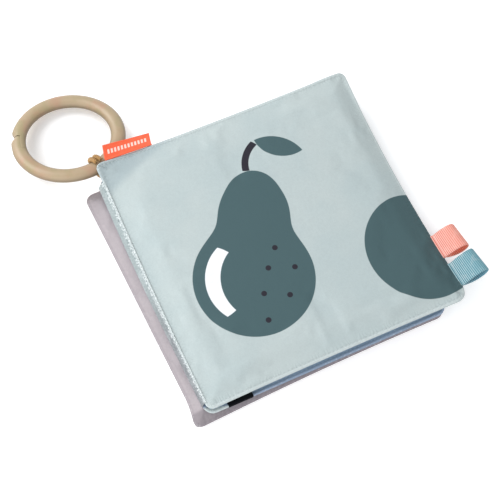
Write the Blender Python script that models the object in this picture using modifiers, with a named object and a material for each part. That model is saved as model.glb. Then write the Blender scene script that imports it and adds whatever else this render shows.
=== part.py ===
"""A soft cloth book that folds out in a zigzag, closed and lying flat.

Three padded panels lie on each other: the back panel, the page and the cover.
A strip of cloth joins the back panel and the page on the right, and another
joins the page and the cover on the left. A cord holds a split grip ring at
the cover's far left corner. Metres, +Z up, origin under the back panel.
"""

import math

import bmesh
import bpy
from mathutils import Matrix, Vector

# Panels, width along X and height along Y
COVER_WIDTH = 0.150
COVER_HEIGHT = 0.150
COVER_OVERHANG = 0.0115
COVER_MARGIN = 0.006
BACK_MARGIN = 0.0075
PAGE_SHIFT_Y = 0.001
COVER_SHIFT_Y = 0.0047
SPINE_STEP = 0.0015

# Layers of one panel
PAD_THICKNESS = 0.006
CLOTH = 0.0005
FILM = 0.00025
GAP = 0.0003
SEAM_FLANGE = 0.002
CROWN_WIDTH = 0.008
WADDING_INSET = 0.004
COVER_DOME = 0.0008

# Outlines of the panels
CORNER_RADIUS = 0.004
COVER_NEAR_CORNER_RADIUS = 0.008
PAGE_CORNER_RADIUS = 0.005
SPINE_BOW = 0.0012
COVER_RIGHT_HOLLOW = 0.003
COVER_FAR_HOLLOW = 0.001
COVER_NEAR_HOLLOW = 0.0007
BACK_LEAN = 0.006
BACK_SLANT = 0.0014
BACK_SHIFT_Y = -0.0002
OVERHANG_DROOP = 0.0015

# Cover corner that lies on the ring
CORNER_LIFT = 0.0055
CORNER_LIFT_REACH = 0.024
CORNER_PULL_X = 0.0014
CORNER_PULL_Y = 0.0021
CORNER_FLATTENING_SHARE = 2.5

# Cloth strips at the folds
STRIP_BULGE = 0.0026
FOLD_CLEARANCE = 0.001

# Hook and loop closure near the front left corner
PATCH_WIDTH = 0.0135
PATCH_DEPTH = 0.012
PATCH_THICKNESS = 0.0011
PATCH_FROM_LEFT = 0.0107
PATCH_FROM_FRONT = -0.0016
PATCH_MARGIN = 0.001
PATCH_SOFTENING = 0.005
LINE_CLEARANCE = 0.0006
LINE_SPACING = 0.004
PATCH_EDGE = 0.0002

# Split ring
RING_RADIUS = 0.0275
RING_HALF_WIDTH = 0.0041
RING_HALF_HEIGHT = 0.003
RING_FLOOR_GAP = 0.00015
RING_BEARING = math.radians(105.6)
RING_SLOPE_BEARING = math.radians(74)
RING_FROM_SEAM = 0.0014
RING_UNDER_SEAM = 0.00175
SPLIT_ANGLE = math.radians(-129)
SPLIT_LAP = math.radians(20)
SPLIT_INSET = 0.0012
SPLIT_WIDTH = 0.0004
SPLIT_NOTCH_WIDTH = 0.0022
SPLIT_NOTCH_DEPTH = 0.0012
CUT_OVERRUN = 0.002

# Cord that holds the ring
CORD_RADIUS = 0.0013
CORD_FROM_CORNER = 0.0025

# Woven label in the far seam
LABEL_FROM_CORNER = 0.006
LABEL_WIDTH = 0.0264
LABEL_REACH = 0.007
LABEL_THICKNESS = 0.0006
LABEL_SEAM_GAP = 0.0012
LABEL_SKEW = 0.0016
LABEL_LEFT_RISE = 0.0022
LABEL_RIGHT_DROP = 0.0015

# Ribbon loops in the right seam
RIBBON_WIDTH = 0.014
RIBBON_HALF_HEIGHT = 0.0052
RIBBON_THICKNESS = 0.0008
RIBBON_BASE_SPREAD = 0.0004
RIBBON_SEAM_GAP = 0.0011
RIBBON_SKEW = 0.0015
RIBBON_RISE = 0.003
RIBBON_FLARE = 0.0014
CORAL_FROM_FRONT = 0.0326
CORAL_REACH = 0.0120
CORAL_DRIFT = 0.0006
BLUE_FROM_FRONT = 0.0147
BLUE_REACH = 0.0138
BLUE_DRIFT = 0.002

# Places worked out from the sizes above
PAGE_WIDTH = COVER_WIDTH - COVER_OVERHANG
PAGE_HEIGHT = COVER_HEIGHT - COVER_MARGIN
BACK_WIDTH = PAGE_WIDTH + BACK_MARGIN
BACK_HEIGHT = PAGE_HEIGHT
HALF_PAD = PAD_THICKNESS / 2
RIM_HALF = CLOTH + GAP / 2
PITCH = PAD_THICKNESS + GAP
BACK_SEAM_Z = HALF_PAD
PAGE_SEAM_Z = BACK_SEAM_Z + PITCH
COVER_SEAM_Z = PAGE_SEAM_Z + PITCH
FOLD_RIGHT_X = BACK_WIDTH / 2
PAGE_LEFT_X = FOLD_RIGHT_X - PAGE_WIDTH
COVER_LEFT_X = PAGE_LEFT_X + SPINE_STEP
PAGE_HINGE_X = FOLD_RIGHT_X + FOLD_CLEARANCE
PAGE_HINGE_Z = (BACK_SEAM_Z + PAGE_SEAM_Z) / 2
COVER_HINGE_X = (PAGE_LEFT_X + COVER_LEFT_X) / 2 - SPINE_BOW - FOLD_CLEARANCE / 2
COVER_HINGE_Z = (PAGE_SEAM_Z + COVER_SEAM_Z) / 2
PATCH_SEAT = (PITCH - 2 * PATCH_THICKNESS - 3 * GAP) / 2

# Where the grid lines of a panel lie across its crown, and how many lie inside it
CROWN_SHARES = (0.22, 0.5, 1.0)
INNER_LINES = 6

MODEL = bpy.data.collections.new("drop_down_book")
CUTTERS = bpy.data.collections.new("cutters")


def clear_scene():
    """Remove what the file holds and link the two collections."""
    for item in list(bpy.data.objects):
        bpy.data.objects.remove(item)
    for collection in (MODEL, CUTTERS):
        bpy.context.scene.collection.children.link(collection)


def material(name, colour, roughness, metallic=0.0):
    """Make a Principled material of one colour."""
    result = bpy.data.materials.new(name)
    result.use_nodes = True
    result.diffuse_color = (*colour, 1.0)
    shader = result.node_tree.nodes["Principled BSDF"]
    shader.inputs["Base Color"].default_value = (*colour, 1.0)
    shader.inputs["Roughness"].default_value = roughness
    shader.inputs["Metallic"].default_value = metallic
    return result


def add_object(name, data, location, finish, collection=None):
    """Put mesh or curve data into the model as a named object."""
    item = bpy.data.objects.new(name, data)
    item.location = location
    (collection or MODEL).objects.link(item)
    if finish:
        item.data.materials.append(finish)
    return item


def add_axis(name, location):
    """Make the empty that carries the pieces of one moving body."""
    axis = bpy.data.objects.new(name, None)
    axis.empty_display_size = PITCH
    axis.location = location
    MODEL.objects.link(axis)
    return axis


def hang_on(axis, *pieces):
    """Parent pieces to the empty on their joint's axis, where they lie."""
    bpy.context.view_layer.update()
    for piece in pieces:
        piece.parent = axis
        piece.matrix_parent_inverse = axis.matrix_world.inverted()


def evaluated_mesh(item):
    """Turn a curve object into a mesh in world space and remove the curve."""
    bpy.context.view_layer.update()
    graph = bpy.context.evaluated_depsgraph_get()
    mesh = bpy.data.meshes.new_from_object(item.evaluated_get(graph))
    mesh.transform(item.matrix_world)
    form = bmesh.new()
    form.from_mesh(mesh)
    bmesh.ops.remove_doubles(form, verts=form.verts, dist=0.00001)
    form.to_mesh(mesh)
    form.free()
    bpy.data.objects.remove(item)
    return mesh


def thicken(item, thickness):
    """Give an open surface its thickness, inwards from its outer face."""
    wall = item.modifiers.new("wall", "SOLIDIFY")
    wall.thickness = thickness
    wall.offset = -1


class Panel:
    """A padded panel's outline, crown and place."""

    def __init__(self, width, height, centre, radii, bows, patch_side=0, curled=False):
        self.half_width = width / 2
        self.half_height = height / 2
        self.centre = Vector(centre)
        self.radii = radii
        self.bows = bows
        self.patch_side = patch_side
        self.curled = curled
        self.lean = 0.0
        self.slant = 0.0

    def plan(self, x, y):
        """Move a point of the plain rectangle to the sewn panel's outline."""
        across = self.half_width - abs(x)
        along = self.half_height - abs(y)
        radius = self.radii[(x > 0) + 2 * (y > 0)]
        new_x, new_y = x, y
        if across < radius and along < radius:
            reach = (radius - across, radius - along)
            shrink = max(reach) / math.hypot(*reach)
            new_x = math.copysign(self.half_width - radius + reach[0] * shrink, x)
            new_y = math.copysign(self.half_height - radius + reach[1] * shrink, y)
        left, right, near, far = self.bows
        share_x = x / self.half_width
        share_y = y / self.half_height
        side_bow = right if x > 0 else -left
        end_bow = far if y > 0 else -near
        new_x += side_bow * abs(share_x) ** 3 * (1 - share_y ** 2)
        new_y += end_bow * abs(share_y) ** 3 * (1 - share_x ** 2)
        new_x -= self.lean * (1 - share_x) / 2 * share_y / 2
        new_y += self.slant * share_x
        lifted = self.lift_share(x, y)
        new_x -= CORNER_PULL_X * lifted
        new_y -= CORNER_PULL_Y * lifted
        return new_x, new_y, CORNER_LIFT * lifted - self.droop_at(x)

    def lift_share(self, x, y):
        """How far the far left corner curls up here, from 0 to 1."""
        if not self.curled:
            return 0.0
        inwards = (x + self.half_width + self.half_height - y) / math.sqrt(2)
        return max(0.0, 1 - inwards / CORNER_LIFT_REACH) ** 2

    def droop_at(self, x):
        """How far the part that overhangs the page sinks."""
        overhang = self.centre.x + self.half_width - FOLD_RIGHT_X
        beyond = self.centre.x + x - FOLD_RIGHT_X
        if not self.curled or beyond <= 0:
            return 0.0
        return OVERHANG_DROOP * (beyond / overhang) ** 2

    def half_thickness(self, x, y, side):
        """Half the panel's thickness over one point of the rectangle."""
        inside = min(self.half_width - abs(x), self.half_height - abs(y))
        rise = min(max((inside - SEAM_FLANGE) / CROWN_WIDTH, 0.0), 1.0)
        half = RIM_HALF + (HALF_PAD - RIM_HALF) * (1 - (1 - rise) ** 2)
        if side == self.patch_side:
            half -= max(0.0, half - PATCH_SEAT) * self.patch_share(x, y)
        if side < 0:
            half -= (half - RIM_HALF) * min(1.0, CORNER_FLATTENING_SHARE * self.lift_share(x, y))
        if self.curled and side > 0:
            half += COVER_DOME * (1 - (x / self.half_width) ** 2) * (1 - (y / self.half_height) ** 2)
        return half

    def patch_share(self, x, y):
        """1 where a closure patch presses the padding, 0 well away from it."""
        beyond_x = abs(self.centre.x + x - patch_centre_x()) - PATCH_WIDTH / 2
        beyond_y = abs(self.centre.y + y - patch_centre_y()) - PATCH_DEPTH / 2
        beyond = max(beyond_x - PATCH_MARGIN, beyond_y - PATCH_MARGIN, 0.0)
        share = max(0.0, 1 - beyond / PATCH_SOFTENING)
        return share * share * (3 - 2 * share)

    def surface_point(self, x, y, height):
        """A point of the sewn panel at a height above its seam."""
        new_x, new_y, rise = self.plan(x, y)
        slope = 2 * CORNER_LIFT / CORNER_LIFT_REACH * math.sqrt(self.lift_share(x, y) / 2)
        upwards = Vector((slope, -slope, 1)).normalized()
        return Vector((new_x, new_y, rise)) + upwards * height

    def patch_lines(self):
        """Where the padding's grid needs lines beside the closure patch."""
        if not self.patch_side:
            return (), ()
        reach_x = PATCH_WIDTH / 2 + PATCH_MARGIN
        reach_y = PATCH_DEPTH / 2 + PATCH_MARGIN
        middle = patch_centre_x() - self.centre.x
        far = patch_centre_y() + reach_y - self.centre.y
        return (middle - reach_x, middle + reach_x), (far,)

    def far_edge(self, from_left):
        """The seam at the far edge, a distance along it from the left corner."""
        return self.centre + self.surface_point(from_left - self.half_width, self.half_height, 0)

    def right_edge(self, from_front):
        """The seam at the right edge, a distance along it from the near corner."""
        return self.centre + self.surface_point(self.half_width, from_front - self.half_height, 0)


def patch_centre_x():
    return COVER_LEFT_X + PATCH_FROM_LEFT + PATCH_WIDTH / 2


def patch_centre_y():
    return COVER_SHIFT_Y - COVER_HEIGHT / 2 + PATCH_FROM_FRONT + PATCH_DEPTH / 2


def make_panels():
    """Describe the three panels of the closed book."""
    cover_radii = (CORNER_RADIUS, COVER_NEAR_CORNER_RADIUS, CORNER_RADIUS, CORNER_RADIUS)
    cover = Panel(
        COVER_WIDTH, COVER_HEIGHT,
        (COVER_LEFT_X + COVER_WIDTH / 2, COVER_SHIFT_Y, COVER_SEAM_Z),
        cover_radii,
        (SPINE_BOW, -COVER_RIGHT_HOLLOW, -COVER_NEAR_HOLLOW, -COVER_FAR_HOLLOW),
        patch_side=-1, curled=True,
    )
    page = Panel(
        PAGE_WIDTH, PAGE_HEIGHT,
        (PAGE_LEFT_X + PAGE_WIDTH / 2, PAGE_SHIFT_Y, PAGE_SEAM_Z),
        (PAGE_CORNER_RADIUS,) * 4,
        (SPINE_BOW, 0, 0, 0),
        patch_side=1,
    )
    back = Panel(
        BACK_WIDTH, BACK_HEIGHT,
        (0, BACK_SHIFT_Y, BACK_SEAM_Z),
        (PAGE_CORNER_RADIUS,) * 4,
        (0, 0, 0, 0),
    )
    back.lean = BACK_LEAN
    back.slant = BACK_SLANT
    return cover, page, back


def stations(half_length, inset, inner_lines, extra):
    """Grid lines across a panel: close together over its crown, wide inside."""
    crown = [SEAM_FLANGE] + [SEAM_FLANGE + CROWN_WIDTH * share for share in CROWN_SHARES]
    edge = [inset] + [distance for distance in crown if distance > inset + GAP]
    low = [distance - half_length for distance in edge]
    step = -2 * low[-1] / (inner_lines + 1)
    inner = [low[-1] + step * (index + 1) for index in range(inner_lines)]
    added = [value for value in extra if abs(value - low[-1]) > LINE_CLEARANCE]
    kept = [value for value in inner if all(abs(value - line) > LINE_SPACING for line in added)]
    return low + sorted(kept + added) + [-value for value in reversed(low)]


def panel_grid(panel, inset, inner_lines, heights):
    """A grid over the panel, with each point's height from a function."""
    beside, beyond = panel.patch_lines()
    lines_x = stations(panel.half_width, inset, inner_lines, beside)
    lines_y = stations(panel.half_height, inset, inner_lines, beyond)
    form = bmesh.new()
    bmesh.ops.create_grid(
        form, x_segments=len(lines_x) - 1, y_segments=len(lines_y) - 1, size=0.5
    )
    places = {}
    for vertex in form.verts:
        x = lines_x[round((vertex.co.x + 0.5) * (len(lines_x) - 1))]
        y = lines_y[round((vertex.co.y + 0.5) * (len(lines_y) - 1))]
        vertex.co = panel.surface_point(x, y, heights(x, y))
        places[vertex.co.to_tuple(6)] = (x, y)
    return form, places


def finish_mesh(form, name):
    """Store a bmesh, smooth where it turns gently and sharp at its edges."""
    mesh = bpy.data.meshes.new(name)
    form.to_mesh(mesh)
    form.free()
    mesh.shade_smooth()
    mesh.set_sharp_from_angle(angle=math.radians(50))
    return mesh


def cloth_layer(name, panel, side, finish):
    """One outer cloth of a panel, upper with side 1 and lower with side -1."""

    def height(x, y):
        return side * panel.half_thickness(x, y, side)

    form, _ = panel_grid(panel, 0.0, INNER_LINES, height)
    if side < 0:
        bmesh.ops.reverse_faces(form, faces=form.faces)
    cloth = add_object(name, finish_mesh(form, name), panel.centre, finish)
    thicken(cloth, CLOTH)
    return cloth


def film_layer(name, panel, finish):
    """A crinkly film under the panel's upper cloth."""

    def height(x, y):
        return panel.half_thickness(x, y, 1) - CLOTH - GAP

    form, _ = panel_grid(panel, WADDING_INSET, INNER_LINES, height)
    film = add_object(name, finish_mesh(form, name), panel.centre, finish)
    thicken(film, FILM)
    return film


def wadding_block(name, panel, finish, film=0.0):
    """The soft filling between a panel's cloths, with a gap to each."""

    def lower(x, y):
        return CLOTH + GAP - panel.half_thickness(x, y, -1)

    def upper(x, y):
        return panel.half_thickness(x, y, 1) - CLOTH - GAP - film

    form, places = panel_grid(panel, WADDING_INSET, INNER_LINES, lower)
    top = bmesh.ops.extrude_face_region(form, geom=form.faces[:])["geom"]
    for vertex in (item for item in top if isinstance(item, bmesh.types.BMVert)):
        x, y = places[vertex.co.to_tuple(6)]
        vertex.co = panel.surface_point(x, y, upper(x, y))
    bmesh.ops.recalc_face_normals(form, faces=form.faces)
    return add_object(name, finish_mesh(form, name), panel.centre, finish)


def fold_strip(name, upper, lower, side, finish):
    """The cloth round a fold, from the upper panel's edge to the lower one's."""
    form = bmesh.new()
    around, along = 8, 8
    bmesh.ops.create_grid(form, x_segments=around, y_segments=along, size=0.5)
    half_length = PAGE_HEIGHT / 2 - PAGE_CORNER_RADIUS
    for vertex in form.verts:
        turn = math.pi * (0.5 - vertex.co.x)
        y = PAGE_SHIFT_Y + 2 * vertex.co.y * half_length
        top = edge_at(upper, side, y)
        bottom = edge_at(lower, side, y)
        share = (1 + math.cos(turn)) / 2
        start = bottom.lerp(top, share)
        bulge = GAP + STRIP_BULGE * math.sin(turn)
        vertex.co = start + Vector((side * bulge, 0, 0))
    bmesh.ops.recalc_face_normals(form, faces=form.faces)
    outward = sum((face.normal.x for face in form.faces))
    if outward * side < 0:
        bmesh.ops.reverse_faces(form, faces=form.faces)
    strip = add_object(name, finish_mesh(form, name), (0, 0, 0), finish)
    thicken(strip, CLOTH)
    return strip


def edge_at(panel, side, y):
    """The seam of a panel's left or right edge at a world Y."""
    local_y = y - panel.centre.y
    return panel.centre + panel.surface_point(side * panel.half_width, local_y, 0)


def closure_patch(name, base_z, finish):
    """One black patch of the closure, lying flat in its seat."""
    form = bmesh.new()
    bmesh.ops.create_cube(form, size=1.0)
    size = (PATCH_WIDTH, PATCH_DEPTH, PATCH_THICKNESS)
    bmesh.ops.scale(form, vec=size, verts=form.verts)
    centre = (patch_centre_x(), patch_centre_y(), base_z + PATCH_THICKNESS / 2)
    patch = add_object(name, finish_mesh(form, name), centre, finish)
    rounding = patch.modifiers.new("soft edges", "BEVEL")
    rounding.width = PATCH_EDGE
    rounding.segments = 1
    return patch


class RingPlace:
    """Where the ring is held, which way it leans and its own axes."""

    def __init__(self, cover):
        self.exit = cover.far_edge(CORD_FROM_CORNER)
        towards = Vector((math.cos(RING_BEARING), math.sin(RING_BEARING), 0))
        drop = RIM_HALF + RING_UNDER_SEAM + RING_HALF_HEIGHT
        self.hold = self.exit + towards * RING_FROM_SEAM - Vector((0, 0, drop))
        self.pivot = self.exit + towards * (CORD_RADIUS + GAP)
        slope = Vector((math.cos(RING_SLOPE_BEARING), math.sin(RING_SLOPE_BEARING), 0))
        fall = self.hold.z - RING_FLOOR_GAP - RING_HALF_HEIGHT
        sine = fall / (RING_RADIUS * (1 + towards.dot(slope)))
        self.normal = slope * sine + Vector((0, 0, math.sqrt(1 - sine * sine)))
        self.inwards = (towards - self.normal * towards.dot(self.normal)).normalized()
        self.tangent = self.inwards.cross(self.normal)
        self.centre = self.hold + self.inwards * RING_RADIUS

    def ring_matrix(self):
        """The ring's axes, X from its centre to where the cord holds it."""
        outwards = -self.inwards
        sideways = self.normal.cross(outwards)
        turn = Matrix((outwards, sideways, self.normal)).transposed()
        return Matrix.Translation(self.centre) @ turn.to_4x4()

    def section_point(self, across, up, along):
        """A point round the held tube: towards the hole, up and along it."""
        return self.hold + self.inwards * across + self.normal * up + self.tangent * along


def split_cutter(place):
    """The stepped cut that opens the ring, as a flat outline with a thickness."""
    outer = RING_RADIUS + RING_HALF_WIDTH + CUT_OVERRUN
    inner = RING_RADIUS - RING_HALF_WIDTH - CUT_OVERRUN
    notch = RING_RADIUS + RING_HALF_WIDTH - SPLIT_NOTCH_DEPTH
    half = SPLIT_WIDTH / 2
    lap_radius = RING_RADIUS - SPLIT_INSET

    def polar(radius, angle, offset):
        """A point at a radius, set off sideways from a ray by a length."""
        ray = Vector((math.cos(angle), math.sin(angle)))
        side = Vector((-ray.y, ray.x))
        return ray * radius + side * offset

    flare = SPLIT_NOTCH_WIDTH * (outer - notch) / SPLIT_NOTCH_DEPTH / 2
    first, last = SPLIT_ANGLE, SPLIT_ANGLE + SPLIT_LAP
    steps = 8
    lap = [first + SPLIT_LAP * index / steps for index in range(1, steps)]
    points = [polar(outer, first, -flare), polar(outer, first, flare), polar(notch, first, half)]
    points += [polar(lap_radius + half, first, half)]
    points += [polar(lap_radius + half, angle, 0) for angle in lap]
    points += [polar(lap_radius + half, last, half), polar(inner, last, half)]
    points += [polar(inner, last, -half), polar(lap_radius - half, last, -half)]
    points += [polar(lap_radius - half, angle, 0) for angle in reversed(lap)]
    points += [polar(lap_radius - half, first, -half), polar(notch, first, -half)]
    outline = bpy.data.curves.new("split_outline", "CURVE")
    outline.dimensions = "2D"
    outline.fill_mode = "BOTH"
    outline.extrude = RING_HALF_HEIGHT + CUT_OVERRUN
    spline = outline.splines.new("POLY")
    spline.points.add(len(points) - 1)
    for index, point in enumerate(points):
        spline.points[index].co = (point.x, point.y, 0, 1)
    spline.use_cyclic_u = True
    curve = add_object("split_outline", outline, (0, 0, 0), None, CUTTERS)
    mesh = evaluated_mesh(curve)
    cutter = add_object("split_cutter", mesh, (0, 0, 0), None, CUTTERS)
    cutter.matrix_world = place.ring_matrix()
    cutter.hide_render = True
    cutter.display_type = "WIRE"
    return cutter


def split_ring(place, finish):
    """The grip ring, an oval tube cut through at its lap joint."""
    bpy.ops.mesh.primitive_torus_add(
        major_segments=60, minor_segments=14,
        major_radius=RING_RADIUS, minor_radius=RING_HALF_WIDTH,
    )
    ring = bpy.context.active_object
    ring.name = "split_ring"
    ring.data.transform(Matrix.Diagonal((1, 1, RING_HALF_HEIGHT / RING_HALF_WIDTH, 1)))
    for collection in list(ring.users_collection):
        collection.objects.unlink(ring)
    MODEL.objects.link(ring)
    ring.data.materials.append(finish)
    ring.data.shade_smooth()
    ring.data.set_sharp_from_angle(angle=math.radians(50))
    ring.matrix_world = place.ring_matrix()
    cut = ring.modifiers.new("lap joint", "BOOLEAN")
    cut.object = split_cutter(place)
    return ring


def cord_strand(name, place, along, finish):
    """One pass of the cord: out of the seam, round the ring and back under it."""
    half_across = RING_HALF_WIDTH + GAP + CORD_RADIUS
    half_up = RING_HALF_HEIGHT + GAP + CORD_RADIUS
    leave = place.pivot - place.hold
    start_across, start_up = leave.dot(place.inwards), leave.dot(place.normal)
    first_turn, last_turn = math.radians(62), math.radians(-186)
    steps = 20
    points = [place.section_point(start_across, start_up, along)]
    meet = Vector((half_across * math.cos(first_turn), half_up * math.sin(first_turn)))
    middle = Vector((start_across, start_up)).lerp(meet, 0.5) + Vector((0, CORD_RADIUS / 4))
    points.append(place.section_point(middle.x, middle.y, along))
    for index in range(steps + 1):
        turn = first_turn + (last_turn - first_turn) * index / steps
        across, up = half_across * math.cos(turn), half_up * math.sin(turn)
        points.append(place.section_point(across, up, along))
    path = bpy.data.curves.new(name, "CURVE")
    path.dimensions = "3D"
    path.bevel_depth = CORD_RADIUS
    path.bevel_resolution = 1
    path.use_fill_caps = True
    spline = path.splines.new("POLY")
    spline.points.add(len(points) - 1)
    for index, point in enumerate(points):
        spline.points[index].co = (*(point - place.pivot), 1)
    return add_object(name, path, place.pivot, finish)


def label_seam(cover, share):
    """The label's straight root just outside the seam, at a share of its width."""
    left = cover.far_edge(LABEL_FROM_CORNER)
    right = cover.far_edge(LABEL_FROM_CORNER + LABEL_WIDTH)
    return left.lerp(right, share) + Vector((0, LABEL_SEAM_GAP, 0))


def woven_label(cover, finish):
    """The folded label, sewn in the far seam and lying over the ring."""
    columns, rows = 8, 3
    form = bmesh.new()
    bmesh.ops.create_grid(form, x_segments=columns, y_segments=rows, size=0.5)
    seat = label_seam(cover, 0.5)
    for vertex in form.verts:
        share = vertex.co.x + 0.5
        reach = vertex.co.y + 0.5
        rise = LABEL_LEFT_RISE * (1 - share) - LABEL_RIGHT_DROP * share
        step = Vector((LABEL_SKEW * reach, LABEL_REACH * reach, rise * reach))
        vertex.co = label_seam(cover, share) - seat + step + Vector((0, 0, LABEL_THICKNESS / 2))
    label = add_object("woven_label", finish_mesh(form, "woven_label"), seat, finish)
    thicken(label, LABEL_THICKNESS)
    return label


def ribbon_seat(cover, from_front):
    """The middle of a ribbon's root, just outside the right seam."""
    return cover.right_edge(from_front) + Vector((RIBBON_SEAM_GAP, 0, 0))


def ribbon_loop(name, cover, from_front, reach, drift, finish):
    """A short ribbon folded back on itself, sewn in the right seam."""
    around, across = 22, 3
    seat = ribbon_seat(cover, from_front)
    form = bmesh.new()
    bmesh.ops.create_grid(form, x_segments=around, y_segments=across, size=0.5)
    for vertex in form.verts:
        share = vertex.co.x + 0.5
        turn = math.pi * share
        outward = math.sin(turn) ** 2
        along = RIBBON_WIDTH * vertex.co.y
        seam = ribbon_seat(cover, from_front + along).x - seat.x
        out = (reach - RIBBON_FLARE * vertex.co.y) * outward
        up = RIBBON_HALF_HEIGHT * math.sin(2 * turn) * math.sin(turn) + RIBBON_RISE * outward
        up += RIBBON_BASE_SPREAD * math.cos(turn)
        slip = (drift - RIBBON_SKEW * share) * outward
        vertex.co = Vector((seam + out, along + slip, up))
    bmesh.ops.recalc_face_normals(form, faces=form.faces)
    tip = max(form.faces, key=lambda face: face.calc_center_median().x)
    if tip.normal.x < 0:
        bmesh.ops.reverse_faces(form, faces=form.faces)
    loop = add_object(name, finish_mesh(form, name), seat, finish)
    wall = loop.modifiers.new("wall", "SOLIDIFY")
    wall.thickness = RIBBON_THICKNESS
    wall.offset = 0
    return loop


def build():
    """Model every piece of the book and hang the moving ones on their axes."""
    clear_scene()
    cover_cloth = material("pale_blue_green_cloth", (0.58, 0.66, 0.65), 0.85)
    blue_cloth = material("dusty_blue_cloth", (0.16, 0.26, 0.34), 0.85)
    mauve_cloth = material("mauve_cloth", (0.60, 0.54, 0.57), 0.85)
    wadding = material("white_wadding", (0.85, 0.85, 0.83), 0.95)
    film = material("crinkle_film", (0.80, 0.82, 0.84), 0.30)
    black_tape = material("black_closure_tape", (0.006, 0.007, 0.009), 0.90)
    label_weave = material("orange_label_weave", (1.0, 0.20, 0.09), 0.70)
    coral_ribbon = material("coral_ribbon", (0.95, 0.40, 0.29), 0.60)
    blue_ribbon = material("blue_ribbon", (0.24, 0.45, 0.54), 0.60)
    cord_fibre = material("gold_cord", (0.50, 0.30, 0.11), 0.75)
    ring_plastic = material("beige_ring_plastic", (0.60, 0.48, 0.32), 0.45)

    cover, page, back = make_panels()
    cloth_layer("back_lower_cloth", back, -1, cover_cloth)
    cloth_layer("back_upper_cloth", back, 1, mauve_cloth)
    wadding_block("back_wadding", back, wadding)

    page_pieces = [
        cloth_layer("page_lower_cloth", page, -1, mauve_cloth),
        cloth_layer("page_upper_cloth", page, 1, blue_cloth),
        wadding_block("page_wadding", page, wadding, FILM + GAP),
        film_layer("page_crinkle_film", page, film),
        closure_patch("page_loop_patch", PAGE_SEAM_Z + PATCH_SEAT + GAP, black_tape),
        fold_strip("page_fold_strip", page, back, 1, blue_cloth),
        fold_strip("cover_fold_strip", cover, page, -1, cover_cloth),
    ]
    cover_pieces = [
        cloth_layer("cover_back_cloth", cover, -1, blue_cloth),
        cloth_layer("cover_front_cloth", cover, 1, cover_cloth),
        wadding_block("cover_wadding", cover, wadding),
        closure_patch(
            "cover_hook_patch", COVER_SEAM_Z - PATCH_SEAT - GAP - PATCH_THICKNESS, black_tape
        ),
    ]
    label = woven_label(cover, label_weave)
    coral = ribbon_loop(
        "coral_ribbon_loop", cover, CORAL_FROM_FRONT, CORAL_REACH, CORAL_DRIFT, coral_ribbon
    )
    blue = ribbon_loop(
        "blue_ribbon_loop", cover, BLUE_FROM_FRONT, BLUE_REACH, BLUE_DRIFT, blue_ribbon
    )

    place = RingPlace(cover)
    offset = CORD_RADIUS + GAP / 2
    strands = [
        cord_strand("ring_cord_left", place, -offset, cord_fibre),
        cord_strand("ring_cord_right", place, offset, cord_fibre),
    ]
    ring = split_ring(place, ring_plastic)

    page_axis = add_axis("page_fold_axis", (PAGE_HINGE_X, 0, PAGE_HINGE_Z))
    cover_axis = add_axis("cover_fold_axis", (COVER_HINGE_X, 0, COVER_HINGE_Z))
    swing_axis = add_axis("ring_swing_axis", place.pivot)
    label_axis = add_axis("label_flex_axis", label_seam(cover, 0.5))
    coral_axis = add_axis("coral_ribbon_axis", ribbon_seat(cover, CORAL_FROM_FRONT))
    blue_axis = add_axis("blue_ribbon_axis", ribbon_seat(cover, BLUE_FROM_FRONT))
    hang_on(page_axis, *page_pieces, cover_axis)
    hang_on(cover_axis, *cover_pieces, swing_axis, label_axis, coral_axis, blue_axis)
    hang_on(swing_axis, *strands, ring)
    hang_on(label_axis, label)
    hang_on(coral_axis, coral)
    hang_on(blue_axis, blue)

    for axis in (page_axis, cover_axis, swing_axis, label_axis, coral_axis, blue_axis):
        print("axis", axis.name, [round(value, 6) for value in axis.matrix_world.translation])
    print("ring centre", [round(value, 6) for value in place.centre])
    print("ring normal", [round(value, 6) for value in place.normal])
    print("swing direction", [round(value, 6) for value in place.tangent])
    label_line = label_seam(cover, 0.9) - label_seam(cover, 0.1)
    print("label line", [round(value, 6) for value in label_line.normalized()])
    for from_front in (CORAL_FROM_FRONT, BLUE_FROM_FRONT):
        far = ribbon_seat(cover, from_front + RIBBON_WIDTH / 2)
        line = far - ribbon_seat(cover, from_front - RIBBON_WIDTH / 2)
        print("ribbon line", [round(value, 6) for value in line.normalized()])


build()
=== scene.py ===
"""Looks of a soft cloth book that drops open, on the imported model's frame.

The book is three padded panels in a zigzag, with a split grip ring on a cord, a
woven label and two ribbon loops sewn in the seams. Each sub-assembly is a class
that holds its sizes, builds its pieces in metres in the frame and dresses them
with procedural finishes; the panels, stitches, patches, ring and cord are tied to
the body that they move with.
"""
from __future__ import annotations

import logging
import math
from dataclasses import dataclass, field
from enum import Enum
from typing import List, Mapping, Optional, Sequence, Tuple, Union

import bmesh
import bpy
import numpy as np
from mathutils import Matrix, Vector


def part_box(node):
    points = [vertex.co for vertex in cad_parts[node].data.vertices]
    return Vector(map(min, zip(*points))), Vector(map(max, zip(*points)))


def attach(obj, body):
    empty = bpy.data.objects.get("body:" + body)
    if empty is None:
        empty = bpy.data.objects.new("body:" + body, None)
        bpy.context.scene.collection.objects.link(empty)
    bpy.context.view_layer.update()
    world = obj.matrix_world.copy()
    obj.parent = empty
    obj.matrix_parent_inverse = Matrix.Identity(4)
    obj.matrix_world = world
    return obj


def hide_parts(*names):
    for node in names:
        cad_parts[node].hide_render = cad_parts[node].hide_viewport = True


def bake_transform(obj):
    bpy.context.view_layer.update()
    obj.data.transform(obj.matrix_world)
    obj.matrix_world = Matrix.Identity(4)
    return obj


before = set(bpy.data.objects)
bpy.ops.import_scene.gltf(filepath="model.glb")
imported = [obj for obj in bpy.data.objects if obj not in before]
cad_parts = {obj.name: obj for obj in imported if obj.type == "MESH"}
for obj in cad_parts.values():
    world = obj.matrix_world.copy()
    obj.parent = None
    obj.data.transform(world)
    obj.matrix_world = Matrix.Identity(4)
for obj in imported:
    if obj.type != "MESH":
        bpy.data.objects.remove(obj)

LOG = logging.getLogger("cloth_book")
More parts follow.
